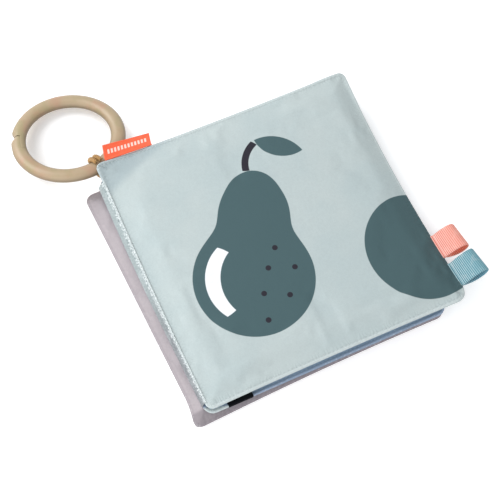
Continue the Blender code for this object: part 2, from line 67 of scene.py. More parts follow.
MM = 0.001

Colour = Tuple[float, float, float, float]
Constants = Tuple[Tuple[str, object], ...]
Grid = np.ndarray
Number = Union["Field", float, int]
Piece = bpy.types.Object
Socket = bpy.types.NodeSocket

THREAD_PITCH = 0.42 * MM
THREAD_HEIGHT = 0.02 * MM


def ink(red: int, green: int, blue: int) -> Colour:
    """Turn a display colour into the linear one that shaders use.

    Args:
        red: Red from 0 to 255.
        green: Green from 0 to 255.
        blue: Blue from 0 to 255.

    Returns:
        The linear colour with full alpha.
    """
    def linear(level: int) -> float:
        """Linear value of one level."""
        share = level / 255
        return share / 12.92 if share <= 0.04045 else ((share + 0.055) / 1.055) ** 2.4
    return linear(red), linear(green), linear(blue), 1.0


# Shader values


@dataclass(frozen=True)
class Field:
    """A number in a node tree, with arithmetic that adds Math nodes.

    Args:
        maker: The maker whose tree holds the nodes.
        socket: The output socket that gives the number.
    """

    maker: "NodeMaker"
    socket: Socket

    def __add__(self, other: Number) -> "Field":
        """Add a number."""
        return self.maker.math("ADD", self, other)

    def __radd__(self, other: Number) -> "Field":
        """Add to a plain number."""
        return self.maker.math("ADD", other, self)

    def __sub__(self, other: Number) -> "Field":
        """Subtract a number."""
        return self.maker.math("SUBTRACT", self, other)

    def __rsub__(self, other: Number) -> "Field":
        """Subtract from a plain number."""
        return self.maker.math("SUBTRACT", other, self)

    def __mul__(self, other: Number) -> "Field":
        """Multiply by a number."""
        return self.maker.math("MULTIPLY", self, other)

    def __truediv__(self, other: Number) -> "Field":
        """Divide by a number."""
        return self.maker.math("DIVIDE", self, other)

    def __neg__(self) -> "Field":
        """Turn the sign round."""
        return self.maker.math("MULTIPLY", self, -1.0)

    def sine(self) -> "Field":
        """Take the sine."""
        return self.maker.math("SINE", self)

    def root(self) -> "Field":
        """Take the square root."""
        return self.maker.math("SQRT", self)

    def span(self, other: "Field") -> "Field":
        """Find how far two offsets at right angles reach together."""
        return (self * self + other * other).root()

    def wave(self, pitch: float) -> "Field":
        """Take a sine wave of a pitch along this length."""
        return (self * (2 * math.pi / pitch)).sine()

    def size(self) -> "Field":
        """Drop the sign."""
        return self.maker.math("ABSOLUTE", self)

    def lower_of(self, other: Number) -> "Field":
        """Take the lower of two numbers."""
        return self.maker.math("MINIMUM", self, other)

    def higher_of(self, other: Number) -> "Field":
        """Take the higher of two numbers."""
        return self.maker.math("MAXIMUM", self, other)

    def ramp(self, start: float, end: float) -> "Field":
        """Rise smoothly from 0 at start to 1 at end.

        Args:
            start: The value that gives 0.
            end: The value that gives 1.

        Returns:
            The smooth share, held at 0 and 1 outside.
        """
        rising = start < end
        inputs = {0: self, 1: min(start, end), 2: max(start, end)}
        inputs.update({3: 0.0, 4: 1.0} if rising else {3: 1.0, 4: 0.0})
        made = self.maker.node(
            "ShaderNodeMapRange", {"interpolation_type": "SMOOTHSTEP"}, inputs)
        return Field(self.maker, made.outputs[0])


@dataclass(frozen=True)
class NodeMaker:
    """Adds nodes to one tree: settings first, then values and links.

    Args:
        tree: The node tree to build in.
    """

    tree: bpy.types.NodeTree

    def node(
        self,
        kind: str,
        settings: Optional[Mapping[str, object]] = None,
        inputs: Optional[Mapping[Union[int, str], object]] = None,
    ) -> bpy.types.Node:
        """Add any node.

        Args:
            kind: The node's type name.
            settings: Properties to set before the sockets are used.
            inputs: Socket index or name to a value, field or socket.

        Returns:
            The new node.
        """
        made = self.tree.nodes.new(kind)
        for name, value in (settings or {}).items():
            setattr(made, name, value)
        for key, value in (inputs or {}).items():
            if isinstance(value, Field):
                self.tree.links.new(value.socket, made.inputs[key])
            elif isinstance(value, Socket):
                self.tree.links.new(value, made.inputs[key])
            else:
                made.inputs[key].default_value = value
        return made

    def math(self, operation: str, *values: Number) -> Field:
        """Add a Math node."""
        made = self.node("ShaderNodeMath", {"operation": operation}, dict(enumerate(values)))
        return Field(self, made.outputs[0])

    def mix(self, share: Number, first: object, second: object) -> Socket:
        """Mix two colours.

        Args:
            share: How much of the second colour shows.
            first: A colour or a colour socket.
            second: A colour or a colour socket.

        Returns:
            The mixed colour.
        """
        made = self.node(
            "ShaderNodeMix", {"data_type": "RGBA", "clamp_factor": True},
            {0: share, 6: first, 7: second})
        return made.outputs[2]

    def place(self, output: str = "Object") -> Tuple[Field, Field]:
        """Read where a point is, seen from above.

        Args:
            output: "Object" for the piece's own frame, "UV" for its flat cut.

        Returns:
            The first two coordinates in metres.
        """
        source = self.node("ShaderNodeTexCoord")
        parts = self.node("ShaderNodeSeparateXYZ", {}, {0: source.outputs[output]})
        return Field(self, parts.outputs[0]), Field(self, parts.outputs[1])

    def attribute(self, name: str) -> Field:
        """Read a number stored on the mesh."""
        made = self.node("ShaderNodeAttribute", {"attribute_name": name})
        return Field(self, made.outputs["Fac"])

    def noise(self, grain: float, detail: float = 2.0, stretch: Sequence[float] = (1, 1, 1),
              unwrapped: bool = False) -> Field:
        """Add soft noise.

        Args:
            grain: The size of one blot in metres.
            detail: How many finer layers it has.
            stretch: How much longer the blots are along X, Y and Z.
            unwrapped: Whether it lies on the flat cut.

        Returns:
            The noise, from 0 to 1, about a half.
        """
        source = self.node("ShaderNodeTexCoord")
        scaled = self.node(
            "ShaderNodeVectorMath", {"operation": "MULTIPLY"},
            {0: source.outputs["UV" if unwrapped else "Object"],
             1: tuple(1 / (grain * share) for share in stretch)})
        made = self.node(
            "ShaderNodeTexNoise", {"noise_dimensions": "3D"},
            {"Vector": scaled.outputs[0], "Scale": 1.0, "Detail": detail, "Roughness": 0.55})
        return Field(self, made.outputs[0])


@dataclass(frozen=True)
class Look:
    """What varies over a finish.

    Args:
        colour: The base colour's socket.
        roughness: The roughness.
        height: The relief in metres, or nothing.
        relief: How strongly the relief tilts the light.
        glow: The colour of its own light, or nothing.
    """

    colour: Socket
    roughness: Number
    height: Optional[Field] = None
    relief: float = 1.0
    glow: Optional[Socket] = None


@dataclass(frozen=True)
class Finish:
    """A procedural material; the kinds below say how it looks.

    Args:
        name: The material's name.
        constants: Shader sockets that hold one value all over.
    """

    name: str
    constants: Constants = field(default=(), kw_only=True)

    def look(self, maker: NodeMaker) -> Look:
        """Build what varies."""
        raise NotImplementedError

    def material(self) -> bpy.types.Material:
        """Make the material, or give the one already made.

        Returns:
            The material.
        """
        known = bpy.data.materials.get(self.name)
        if known is not None:
            return known
        made = bpy.data.materials.new(self.name)
        made.use_nodes = True
        made.node_tree.nodes.clear()
        maker = NodeMaker(made.node_tree)
        look = self.look(maker)
        inputs = dict(self.constants)
        inputs.update({"Base Color": look.colour, "Roughness": look.roughness})
        if look.glow is not None:
            inputs["Emission Color"] = look.glow
        if look.height is not None:
            bump = maker.node(
                "ShaderNodeBump", {},
                {"Strength": look.relief, "Distance": 1.0, "Height": look.height})
            inputs["Normal"] = bump.outputs[0]
        shader = maker.node("ShaderNodeBsdfPrincipled", {}, inputs)
        maker.node("ShaderNodeOutputMaterial", {}, {"Surface": shader.outputs[0]})
        return made


class Motif(Enum):
    """The simple prints on the book's cloths."""

    PLAIN = "plain"
    PEAR = "pear"
    DOTS = "dots"
    HILLS = "hills"


@dataclass(frozen=True)
class PanelCloth(Finish):
    """Fine woven cloth over padding, sewn round its edge, with a print.

    Args:
        base: The cloth's colour.
        tint: The colour that it drifts to in soft blots.
        print_colour: The print's main colour.
        motif: Which print it carries.
        seam_highlight_and_shade: The colour painted along the flattened, stitched edge: a painted
            highlight on the pale and blue cloths, a painted shade on the mauve ones.
        dark: The print's near-black.
        light: The print's white.
        rubbed_and_highlight: The colour of pale flecks along the rim, partly wear and partly a
            painted highlight.
        pucker: The pitch of the gathers along the seam.
        pucker_height: How high the gathers stand.
        seam_reach: How far the stitched edge reaches inwards.
        groove_tone: How strongly the stitched groove is darkened, a painted shade.
        corner: Where a corner or an edge takes another tone, or nothing: a painted shade on the
            cover's curled corner and along the back's near edge, and a patch in the cover cloth's
            colour at the page's tucked corner.
        corner_reach: How far it reaches along X and Y.
        corner_tone: The corner's colour; the default is the cover corner's painted shade.
        corner_share: How strongly that colour shows.
    """

    base: Colour
    tint: Colour
    print_colour: Colour
    motif: Motif
    seam_highlight_and_shade: Colour
    dark: Colour = ink(40, 37, 46)
    light: Colour = ink(236, 239, 243)
    rubbed_and_highlight: Colour = ink(236, 240, 242)
    pucker: float = 2.3 * MM
    pucker_height: float = 0.055 * MM
    seam_reach: float = 2.0 * MM
    groove_tone: float = 0.14
    corner: Optional[Tuple[float, float]] = None
    corner_reach: Tuple[float, float] = (47 * MM, 20 * MM)
    corner_tone: Colour = ink(140, 158, 166)
    corner_share: float = 0.4

    def pear(self, maker: NodeMaker, colour: Socket) -> Socket:
        """Print a freckled pear with its leaf and a plum cut off by the edge.

        Args:
            maker: The maker for the tree.
            colour: The cloth's colour so far.

        Returns:
            The colour with the print.
        """
        x, y = maker.place()
        edge = 0.16 * MM

        def disc(centre_x: float, centre_y: float, radius: float) -> Field:
            """Distance outside a disc, its sizes in millimetres."""
            return (x - centre_x * MM).span(y - centre_y * MM) - radius * MM

        def joined(first: Field, second: Field, soft: float) -> Field:
            """Two shapes flowing into one."""
            return maker.math("SMOOTH_MIN", first, second, soft * MM)

        def mask(distance: Field) -> Field:
            """1 inside a shape, with a crisp edge."""
            return distance.ramp(edge, -edge)

        skin = joined(joined(disc(-14, -16, 32), disc(2, 19, 18.5), 22), disc(6, 29, 13), 8)
        stem = (disc(26.8, 39, 19).size() - 1.9 * MM).higher_of(disc(11.5, 51, 9.5))
        leaf = disc(21, 37, 21).higher_of(disc(37, 58, 17))
        plum = disc(76, -34, 31)
        crescent = disc(-14, -16, 25.5).higher_of(-disc(-7.5, -18.5, 24.5))
        shine = crescent.higher_of(disc(-38, -9, 21))
        freckles = disc(3, -5, 1.5)
        for across, along in ((8, -19), (-5, -14), (-1, -32), (-13, -26), (-17, -40)):
            freckles = freckles.lower_of(disc(across, along, 1.5))
        printed = skin.lower_of(leaf).lower_of(plum)
        colour = maker.mix(mask(stem), colour, self.dark)
        colour = maker.mix(mask(printed), colour, self.print_colour)
        colour = maker.mix(mask(shine), colour, self.light)
        return maker.mix(mask(freckles), colour, self.dark)

    def dots(self, maker: NodeMaker, colour: Socket) -> Socket:
        """Print rows of dots, every other row shifted.

        Args:
            maker: The maker for the tree.
            colour: The cloth's colour so far.

        Returns:
            The colour with the print.
        """
        x, y = maker.place()
        pitch = 21 * MM
        x = x - 4 * MM
        row = maker.math("FLOOR", y / pitch)
        column = maker.math("ROUND", x / pitch + row * 0.5)
        middle_x, middle_y = (column - row * 0.5) * pitch, (row + 0.5) * pitch
        framed = middle_x.size().ramp(52 * MM, 51.5 * MM) * middle_y.size().ramp(55 * MM, 54 * MM)
        dot = (x - middle_x).span(y - middle_y).ramp(4.7 * MM, 4.4 * MM)
        return maker.mix(dot * framed, colour, self.print_colour)

    def hills(self, maker: NodeMaker, colour: Socket) -> Socket:
        """Print rolling hills with a pale disc over them.

        Args:
            maker: The maker for the tree.
            colour: The cloth's colour so far.

        Returns:
            The colour with the print.
        """
        x, y = maker.place()
        corner_x = (x.size() - 44 * MM).higher_of(0.0)
        corner_y = (y.size() - 42 * MM).higher_of(0.0)
        framed = corner_x.span(corner_y).ramp(14.2 * MM, 13.8 * MM)
        for level, tone in ((8, 0.55), (-18, 0.8), (-43, 1.0)):
            wave = (x / (17 * MM) + level).sine() * (6 * MM) + level * MM
            share = (y - wave).ramp(0.2 * MM, -0.2 * MM) * tone * framed
            colour = maker.mix(share, colour, self.print_colour)
        sun = (x - 28 * MM).span(y - 36 * MM).ramp(15.2 * MM, 14.8 * MM)
        return maker.mix(sun, colour, ink(232, 233, 230))

    def look(self, maker: NodeMaker) -> Look:
        """Build the cloth.

        Args:
            maker: The maker for the material's tree.

        Returns:
            The sockets to wire to the shader.
        """
        x, y = maker.place()
        rim, along = maker.attribute("rim"), maker.attribute("along")
        blots = maker.noise(34 * MM, 3.0)
        fibres = maker.noise(0.5 * MM, 2.0, (4, 1, 1)) * maker.noise(0.5 * MM, 2.0, (1, 4, 1))
        colour = maker.mix(blots.ramp(0.35, 0.7), self.base, self.tint)
        # Painted light along the sewn edge: a painted highlight on the pale and blue cloths, a
        # painted shade on the mauve ones.
        seam = rim.ramp(self.seam_reach, self.seam_reach * 0.6)
        sewn = maker.attribute("sewn")
        groove = 1 - ((sewn - self.seam_reach) / (0.5 * MM)).size().ramp(0.0, 1.0)
        colour = maker.mix(seam * 0.75, colour, self.seam_highlight_and_shade)
        prints = {Motif.PEAR: self.pear, Motif.DOTS: self.dots, Motif.HILLS: self.hills}
        if self.motif in prints:
            colour = prints[self.motif](maker, colour)
        # Painted shade on the cover's curled corner and along the back's near edge; on the page, a
        # patch in the cover cloth's colour at its tucked corner.
        if self.corner is not None:
            across = (x - self.corner[0]) / self.corner_reach[0]
            down = (self.corner[1] - y) / self.corner_reach[1]
            corner_shade_and_patch = (across + down + (blots - 0.5) * 0.2).ramp(1.12, 0.82)
            colour = maker.mix(corner_shade_and_patch * self.corner_share, colour, self.corner_tone)
        # Painted shade in the stitched groove.
        colour = maker.mix(groove * self.groove_tone, colour, ink(96, 104, 112))
        # Pale flecks along the rim: partly wear, partly a painted highlight on the sewn ridge.
        worn = maker.noise(1.1 * MM, 3.0).ramp(0.5, 0.72) * rim.ramp(1.3 * MM, 0.3 * MM)
        colour = maker.mix(worn * 0.3, colour, self.rubbed_and_highlight)
        colour = maker.mix(fibres.ramp(0.1, 0.4) * 0.07, colour, ink(70, 80, 88))
        weave = x.wave(THREAD_PITCH) * y.wave(THREAD_PITCH) * THREAD_HEIGHT
        drift = maker.noise(5 * MM, 1.0)
        gathers = (along * (2 * math.pi / self.pucker) + drift * 19.0).sine()
        band = rim.ramp(6.0 * MM, 2.2 * MM) * rim.ramp(0.0, 0.8 * MM)
        height = weave + gathers * band * self.pucker_height + (drift - 0.5) * (0.12 * MM)
        return Look(colour, 0.74 + blots * 0.14, height, 0.9)


@dataclass(frozen=True)
class StripCloth(Finish):
    """The plain woven cloth of a fold, creased along the seams.

    Args:
        base: The colour at the strip's middle.
        deep: The darker colour near its near end, a painted shade where it is tucked in.
        upper: The colour next to the upper panel.
        length: The strip's flat width from seam to seam.
        lap: How far it lies over the upper panel.
        shaded: Where along the strip the deep colour begins and is full.
    """

    base: Colour
    deep: Colour
    upper: Colour
    length: float
    lap: float = 1.2 * MM
    shaded: Tuple[float, float] = (118 * MM, 62 * MM)

    def look(self, maker: NodeMaker) -> Look:
        """Build the cloth.

        Args:
            maker: The maker for the material's tree.

        Returns:
            The sockets to wire to the shader.
        """
        along, around = maker.place("UV")
        blots = maker.noise(9 * MM, 3.0, unwrapped=True)
        from_rim = self.length - around
        # Painted shade: the strip darkens towards its near end, where it is tucked in.
        shade = maker.mix(along.ramp(*self.shaded), self.base, self.deep)
        lapped = from_rim.ramp(self.lap + 1.3 * MM, self.lap - 0.1 * MM)
        colour = maker.mix(lapped, shade, self.upper)
        colour = maker.mix(blots.ramp(0.4, 0.75) * 0.2, colour, ink(218, 226, 228))
        flecks = maker.noise(0.75 * MM, 3.0, (1.0, 0.5, 1.0), unwrapped=True)
        rim = 1 - ((from_rim - self.lap) / (1.5 * MM)).size().ramp(0.1, 1.0)
        colour = maker.mix(flecks.ramp(0.5, 0.6) * (0.15 + rim * 0.7), colour, ink(240, 243, 244))
        colour = maker.mix(flecks.ramp(0.47, 0.4) * (0.25 + rim * 0.6), colour, ink(92, 102, 106))
        crease = (along * (2 * math.pi / (1.7 * MM)) + blots * 16.0).sine()
        weave = along.wave(THREAD_PITCH) * around.wave(THREAD_PITCH) * THREAD_HEIGHT
        return Look(colour, 0.76 + blots * 0.12, weave + crease * (0.06 * MM), 0.9)


@dataclass(frozen=True)
class RibbonWeave(Finish):
    """Ribbed ribbon with a painted highlight along each rib, painted shade between the ribs and
    painted light inside the loop.

    Args:
        outside: The colour of the loop's outer face.
        inside: The colour of its inner face, painted light inside the loop: a painted glow on the
            coral loop, a painted shade on the blue one.
        line: The painted shade between the ribs.
        rib: The pitch of the ribs.
        thread: The pitch of the threads across them.
    """

    outside: Colour
    inside: Colour
    line: Colour
    rib: float = 1.0 * MM
    thread: float = 0.34 * MM

    def look(self, maker: NodeMaker) -> Look:
        """Build the ribbon.

        Args:
            maker: The maker for the material's tree.

        Returns:
            The sockets to wire to the shader.
        """
        along, across = maker.place("UV")
        inner = maker.attribute("inner")
        wave = along.wave(self.rib) * 0.5 + 0.5
        threads = across.wave(self.thread)
        blots = maker.noise(4 * MM, 3.0, unwrapped=True)
        # Painted light inside the loop: the inner face takes its own colour.
        colour = maker.mix(inner, self.outside, self.inside)
        near_seam = maker.attribute("near_seam")
        # Painted shade between the ribs, stronger near the seam.
        colour = maker.mix(wave.ramp(0.55, 0.1) * (near_seam * 0.5 + 0.3), colour, self.line)
        # Painted highlight along each rib.
        shine = wave.ramp(0.6, 1.0) * (near_seam * 0.3 + 0.1)
        colour = maker.mix(shine, colour, ink(250, 248, 246))
        colour = maker.mix(blots.ramp(0.5, 0.8) * 0.18, colour, ink(255, 238, 228))
        height = threads * (0.012 * MM) + wave * (0.06 * MM)
        return Look(colour, 0.58 + wave * 0.14, height, 0.8)


@dataclass(frozen=True)
class LabelWeave(Finish):
    """Dense satin weave with a row of small plain blocks and no lettering.

    Args:
        base: The label's colour.
        blocks: The colour of the woven blocks.
        width: The label's width along the seam.
        depth: Its depth from the seam to the fold.
        blocks_wide: How many block widths fit along it, the margins too.
        thread: The pitch of the weave.
    """

    base: Colour
    blocks: Colour
    width: float
    depth: float
    blocks_wide: int = 14
    thread: float = 0.26 * MM

    def look(self, maker: NodeMaker) -> Look:
        """Build the label.

        Args:
            maker: The maker for the material's tree.

        Returns:
            The sockets to wire to the shader.
        """
        along, out = maker.place("UV")
        pitch = self.width / self.blocks_wide
        cell = maker.math("PINGPONG", along / pitch, 0.5)
        side = self.width / 2 - pitch
        within = (along - self.width / 2).size().ramp(side + 0.1 * MM, side - 0.1 * MM)
        row = (out - self.depth * 0.5).size().ramp(self.depth * 0.15, self.depth * 0.13)
        top = maker.attribute("top")
        mask = cell.ramp(0.18, 0.24) * row * within * top
        blots = maker.noise(3 * MM, 3.0, unwrapped=True)
        colour = maker.mix(blots.ramp(0.4, 0.75) * 0.25, self.base, ink(250, 128, 92))
        colour = maker.mix(mask * 0.86, colour, self.blocks)
        weave = (along + out).wave(self.thread) * out.wave(self.thread) * THREAD_HEIGHT
        return Look(colour, 0.6 + blots * 0.1, weave + mask * (0.05 * MM), 0.8)


@dataclass(frozen=True)
class SpunThread(Finish):
    """Spun thread or cord: a colour with finer and darker fibres along it.

    Args:
        base: The thread's colour.
        dark: The colour between its fibres.
        grain: The size of the fibres' clumps.
    """

    base: Colour
    dark: Colour
    grain: float

    def look(self, maker: NodeMaker) -> Look:
        """Build the thread.

        Args:
            maker: The maker for the material's tree.

        Returns:
            The sockets to wire to the shader.
        """
        clumps = maker.noise(self.grain * 6, 2.0)
        fibres = maker.noise(self.grain, 3.0)
        colour = maker.mix(fibres.ramp(0.62, 0.35) * 0.6, self.base, self.dark)
        colour = maker.mix(clumps.ramp(0.5, 0.8) * 0.25, colour, ink(250, 238, 214))
        return Look(colour, 0.56 + fibres * 0.2, fibres * (self.grain * 0.12), 0.8)


@dataclass(frozen=True)
class MarbledPlastic(Finish):
    """Soft moulded plastic with faint swirls and glossier worn spots, with painted shade on its
    flanks and in its lap joint.

    Args:
        base: The main colour.
        warm: The first swirl's colour.
        cool: The second swirl's colour.
    """

    base: Colour
    warm: Colour
    cool: Colour

    def look(self, maker: NodeMaker) -> Look:
        """Build the plastic.

        Args:
            maker: The maker for the material's tree.

        Returns:
            The sockets to wire to the shader.
        """
        swirl = maker.noise(13 * MM, 2.0)
        other = maker.noise(9 * MM, 2.0, (1.0, 1.6, 1.0))
        grain = maker.noise(0.9 * MM, 3.0)
        joint_shade = maker.attribute("joint_shade")
        colour = maker.mix(swirl.ramp(0.45, 0.68) * 0.8, self.base, self.warm)
        colour = maker.mix(other.ramp(0.48, 0.72) * 0.7, colour, self.cool)
        # Painted shade on the tube's sides, where it faces neither up nor down.
        flank_shade = maker.attribute("upward").size().ramp(0.92, 0.08)
        colour = maker.mix(flank_shade * 0.74, colour, ink(108, 94, 72))
        # Painted shade in the lap joint's groove and along its line.
        colour = maker.mix(joint_shade * 0.72, colour, ink(70, 56, 42))
        height = swirl * (0.05 * MM) + grain * (0.012 * MM)
        return Look(colour, 0.33 + grain * 0.12, height, 0.6)


@dataclass(frozen=True)
class ClosureTape(Finish):
    """The knitted ground of hook and loop tape.

    Args:
        base: The tape's colour.
        nap: The colour of the worn nap.
        stitch: The pitch of the knitting.
    """

    base: Colour
    nap: Colour
    stitch: float = 0.7 * MM

    def look(self, maker: NodeMaker) -> Look:
        """Build the tape.

        Args:
            maker: The maker for the material's tree.

        Returns:
            The sockets to wire to the shader.
        """
        x, y = maker.place()
        knit = x.wave(self.stitch) * y.wave(self.stitch)
        fluff = maker.noise(0.6 * MM, 3.0)
        colour = maker.mix(fluff.ramp(0.55, 0.75) * 0.5, self.base, self.nap)
        return Look(colour, 0.7 + fluff * 0.2, knit * (0.05 * MM), 0.8)


@dataclass(frozen=True)
class PaleFloor(Finish):
    """The plain pale ground that the book lies on.

    Args:
        base: Its colour.
        tint: The faint drift in it.
        near_glow: How much light of its own it adds round the book.
        ring_glow: How much it adds inside the ring's hole, less than round the book, which leaves
            a painted shade spot there.
        ring_spot: The middle of the ring's hole.
        ring_fades: How far from there that light begins and is full.
        far_glow: How much it adds far away, where the lamps don't reach.
        fades: The distances between which that light changes.
    """

    base: Colour
    tint: Colour
    near_glow: float = 0.3
    ring_glow: float = 0.05
    ring_spot: Tuple[float, float] = (-71 * MM, 103 * MM)
    ring_fades: Tuple[float, float] = (30 * MM, 23 * MM)
    far_glow: float = 0.75
    fades: Tuple[float, float] = (0.3, 1.0)

    def look(self, maker: NodeMaker) -> Look:
        """Build the floor.

        Args:
            maker: The maker for the material's tree.

        Returns:
            The sockets to wire to the shader.
        """
        x, y = maker.place()
        drift = maker.noise(0.4, 1.0)
        far = x.span(y).ramp(*self.fades)
        spot_x, spot_y = self.ring_spot
        # Painted shade: the floor glows less inside the ring's hole.
        ring_shade_spot = (x - spot_x).span(y - spot_y).ramp(*self.ring_fades)
        levels = (self.near_glow, self.far_glow, self.ring_glow)
        near_tone, far_tone, ring_tone = ((level, level, level, 1.0) for level in levels)
        glow = maker.mix(ring_shade_spot, maker.mix(far, near_tone, far_tone), ring_tone)
        return Look(maker.mix(drift, self.base, self.tint), 0.95, glow=glow)


FLOOR_GLOW: Constants = (("Emission Strength", 1.0),)


# Mesh building


def set_attribute(mesh: bpy.types.Mesh, name: str, values: Sequence[float]) -> None:
    """Store one number per vertex."""
    layer = mesh.attributes.new(name, "FLOAT", "POINT")
    layer.data.foreach_set("value", np.asarray(values, dtype=np.float32).ravel())


def linked(name: str, data: bpy.types.ID) -> Piece:
    """Put some data in the scene as an object at the origin.

    Args:
        name: The object's name.
        data: Its mesh, curve, light or camera.

    Returns:
        The object.
    """
    made = bpy.data.objects.new(name, data)
    bpy.context.scene.collection.objects.link(made)
    return made


def make_object(
    name: str,
    points: Grid,
    faces: Sequence[Sequence[int]],
    materials: Sequence[bpy.types.Material],
    face_materials: Optional[Sequence[int]] = None,
    flat_cut: Optional[Grid] = None,
) -> Piece:
    """Make a smooth mesh object with outward normals at the origin.

    Args:
        name: The piece's name.
        points: Vertex positions in metres, N by 3.
        faces: Vertex numbers of each face.
        materials: The material slots.
        face_materials: The slot of each face.
        flat_cut: The vertices' places on the flat cut, N by 2, as the UV map.

    Returns:
        The linked object.
    """
    mesh = bpy.data.meshes.new(name)
    mesh.from_pydata(np.asarray(points, dtype=float).tolist(), [], [list(f) for f in faces])
    for material in materials:
        mesh.materials.append(material)
    if face_materials is not None:
        mesh.polygons.foreach_set("material_index", np.asarray(face_materials, dtype=np.int32))
    if flat_cut is not None:
        layer = mesh.uv_layers.new(name="flat_cut")
        corners = np.empty(len(mesh.loops), dtype=np.int32)
        mesh.loops.foreach_get("vertex_index", corners)
        layer.data.foreach_set("uv", np.asarray(flat_cut, dtype=np.float32)[corners].ravel())
    form = bmesh.new()
    form.from_mesh(mesh)
    bmesh.ops.recalc_face_normals(form, faces=form.faces)
    form.to_mesh(mesh)
    form.free()
    mesh.shade_smooth()
    mesh.update()
    LOG.info("%s: %d faces", name, len(mesh.polygons))
    return linked(name, mesh)


def grid_faces(columns: int, rows: int, closed_columns: bool = False,
               closed_rows: bool = False) -> List[Tuple[int, int, int, int]]:
    """Number the quads of one grid.

    Args:
        columns: Vertices along the first way.
        rows: Vertices along the second way.
        closed_columns: Whether the first way closes on itself.
        closed_rows: Whether the second way does.

    Returns:
        The quads.
    """
    faces = []
    for column in range(columns if closed_columns else columns - 1):
        here, after = column * rows, (column + 1) % columns * rows
        for row in range(rows if closed_rows else rows - 1):
            beside = (row + 1) % rows
            faces.append((here + row, after + row, after + beside, here + beside))
    return faces


def two_skins(
    name: str,
    upper: Grid,
    lower: Grid,
    materials: Sequence[bpy.types.Material],
    flat_cut: Optional[Grid] = None,
    attributes: Optional[Mapping[str, Tuple[Grid, Grid]]] = None,
    lower_material: int = 0,
) -> Piece:
    """Close two matching grids of points round their edge to one body.

    Args:
        name: The piece's name.
        upper: The upper skin, columns by rows by 3.
        lower: The lower skin, the same size.
        materials: The material slots.
        flat_cut: Places on the flat cut, columns by rows by 2, for both skins.
        attributes: Named numbers for the upper and the lower skin.
        lower_material: The slot of the lower skin; the rest has the first.

    Returns:
        The closed object.
    """
    columns, rows = upper.shape[:2]
    count = columns * rows
    above = grid_faces(columns, rows)
    below = [tuple(corner + count for corner in reversed(face)) for face in above]
    edge = [column * rows for column in range(columns)]
    edge += [(columns - 1) * rows + row for row in range(1, rows)]
    edge += [column * rows + rows - 1 for column in range(columns - 2, -1, -1)]
    edge += list(range(rows - 2, 0, -1))
    walls = [(corner, following, following + count, corner + count)
             for corner, following in zip(edge, edge[1:] + edge[:1])]
    slots = [0] * len(above) + [lower_material] * len(below) + [0] * len(walls)
    points = np.concatenate([upper.reshape(-1, 3), lower.reshape(-1, 3)])
    cut = None if flat_cut is None else np.tile(flat_cut.reshape(-1, 2), (2, 1))
    made = make_object(name, points, above + below + walls, materials, slots, cut)
    for key, (over, under) in (attributes or {}).items():
        set_attribute(made.data, key, np.concatenate([over.ravel(), under.ravel()]))
    return made


def tube(
    centres: Grid,
    across: Grid,
    upwards: Grid,
    radius: float,
    sides: int,
) -> Tuple[Grid, List[Tuple[int, ...]]]:
    """Sweep a circle along a path, with closed ends.

    Args:
        centres: Path points, N by 3.
        across: Unit directions of the circle's first axis.
        upwards: Unit directions of its second axis.
        radius: The circle's radius.
        sides: Points round the circle.

    Returns:
        The points and the faces.
    """
    turns = np.arange(sides) * 2 * math.pi / sides
    ring = (np.cos(turns)[None, :, None] * across[:, None, :] * radius
            + np.sin(turns)[None, :, None] * upwards[:, None, :] * radius)
    points = (centres[:, None, :] + ring).reshape(-1, 3)
    faces: List[Tuple[int, ...]] = [
        (here, beside, beyond, after)
        for here, after, beyond, beside in grid_faces(len(centres), sides, closed_rows=True)]
    last = (len(centres) - 1) * sides
    points = np.concatenate([points, centres[:1], centres[-1:]])
    near, far = len(points) - 2, len(points) - 1
    for side in range(sides):
        beside = (side + 1) % sides
        faces.append((near, beside, side))
        faces.append((far, last + side, last + beside))
    return points, faces


def fill_turn(marks: Grid, count: int, apart: float) -> Grid:
    """Fill a full turn with even angles, and with closer ones at the marks.

    Args:
        marks: The closer angles in radians.
        count: How many even angles there are.
        apart: How far from the marks the even ones stay.

    Returns:
        All angles in order.
    """
    even = np.linspace(-math.pi, math.pi, count + 1)[:-1]
    nearest = np.min(np.abs(even[:, None] - marks[None, :]), axis=1)
    return np.sort(np.concatenate([marks, even[nearest > apart]]))


def bell(values: Grid, width: float, middle: float = 0.0) -> Grid:
    """Give 1 at the middle value, falling off softly over the width."""
    return np.exp(-(((values - middle) / width) ** 2))


def path_lengths(path: Grid) -> Grid:
    """Measure how far each point of a path is along it."""
    return np.concatenate([[0.0], np.cumsum(np.linalg.norm(np.diff(path, axis=0), axis=1))])


def smoothed(values: Grid) -> Grid:
    """Ease a share so that it starts and ends level."""
    held = np.clip(values, 0.0, 1.0)
    return held * held * (3 - 2 * held)


# Geometry Nodes for what repeats


def open_group(name: str, inputs: Sequence[Tuple[str, str]], output: str) -> NodeMaker:
    """Start a node group with named sockets.

    Args:
        name: The group's name.
        inputs: Each input's name and kind of socket.
        output: The name of the geometry that it gives.

    Returns:
        A maker for the group's tree.
    """
    tree = bpy.data.node_groups.new(name, "GeometryNodeTree")
    for socket, kind in inputs:
        tree.interface.new_socket(socket, in_out="INPUT", socket_type="NodeSocket" + kind)
    tree.interface.new_socket(output, in_out="OUTPUT", socket_type="NodeSocketGeometry")
    return NodeMaker(tree)


def close_group(maker: NodeMaker, placed: Mapping[str, Socket], finish: Socket) -> None:
    """End a node group: repeat the instance, make it real and dress it.

    Args:
        maker: The maker for the group's tree.
        placed: The points, the instance and its rotation.
        finish: The material.
    """
    laid = maker.node("GeometryNodeInstanceOnPoints", {}, placed)
    real = maker.node("GeometryNodeRealizeInstances", {}, {0: laid.outputs[0]})
    dressed = maker.node(
        "GeometryNodeSetMaterial", {}, {"Geometry": real.outputs[0], "Material": finish})
    maker.node("NodeGroupOutput", {}, {0: dressed.outputs[0]})


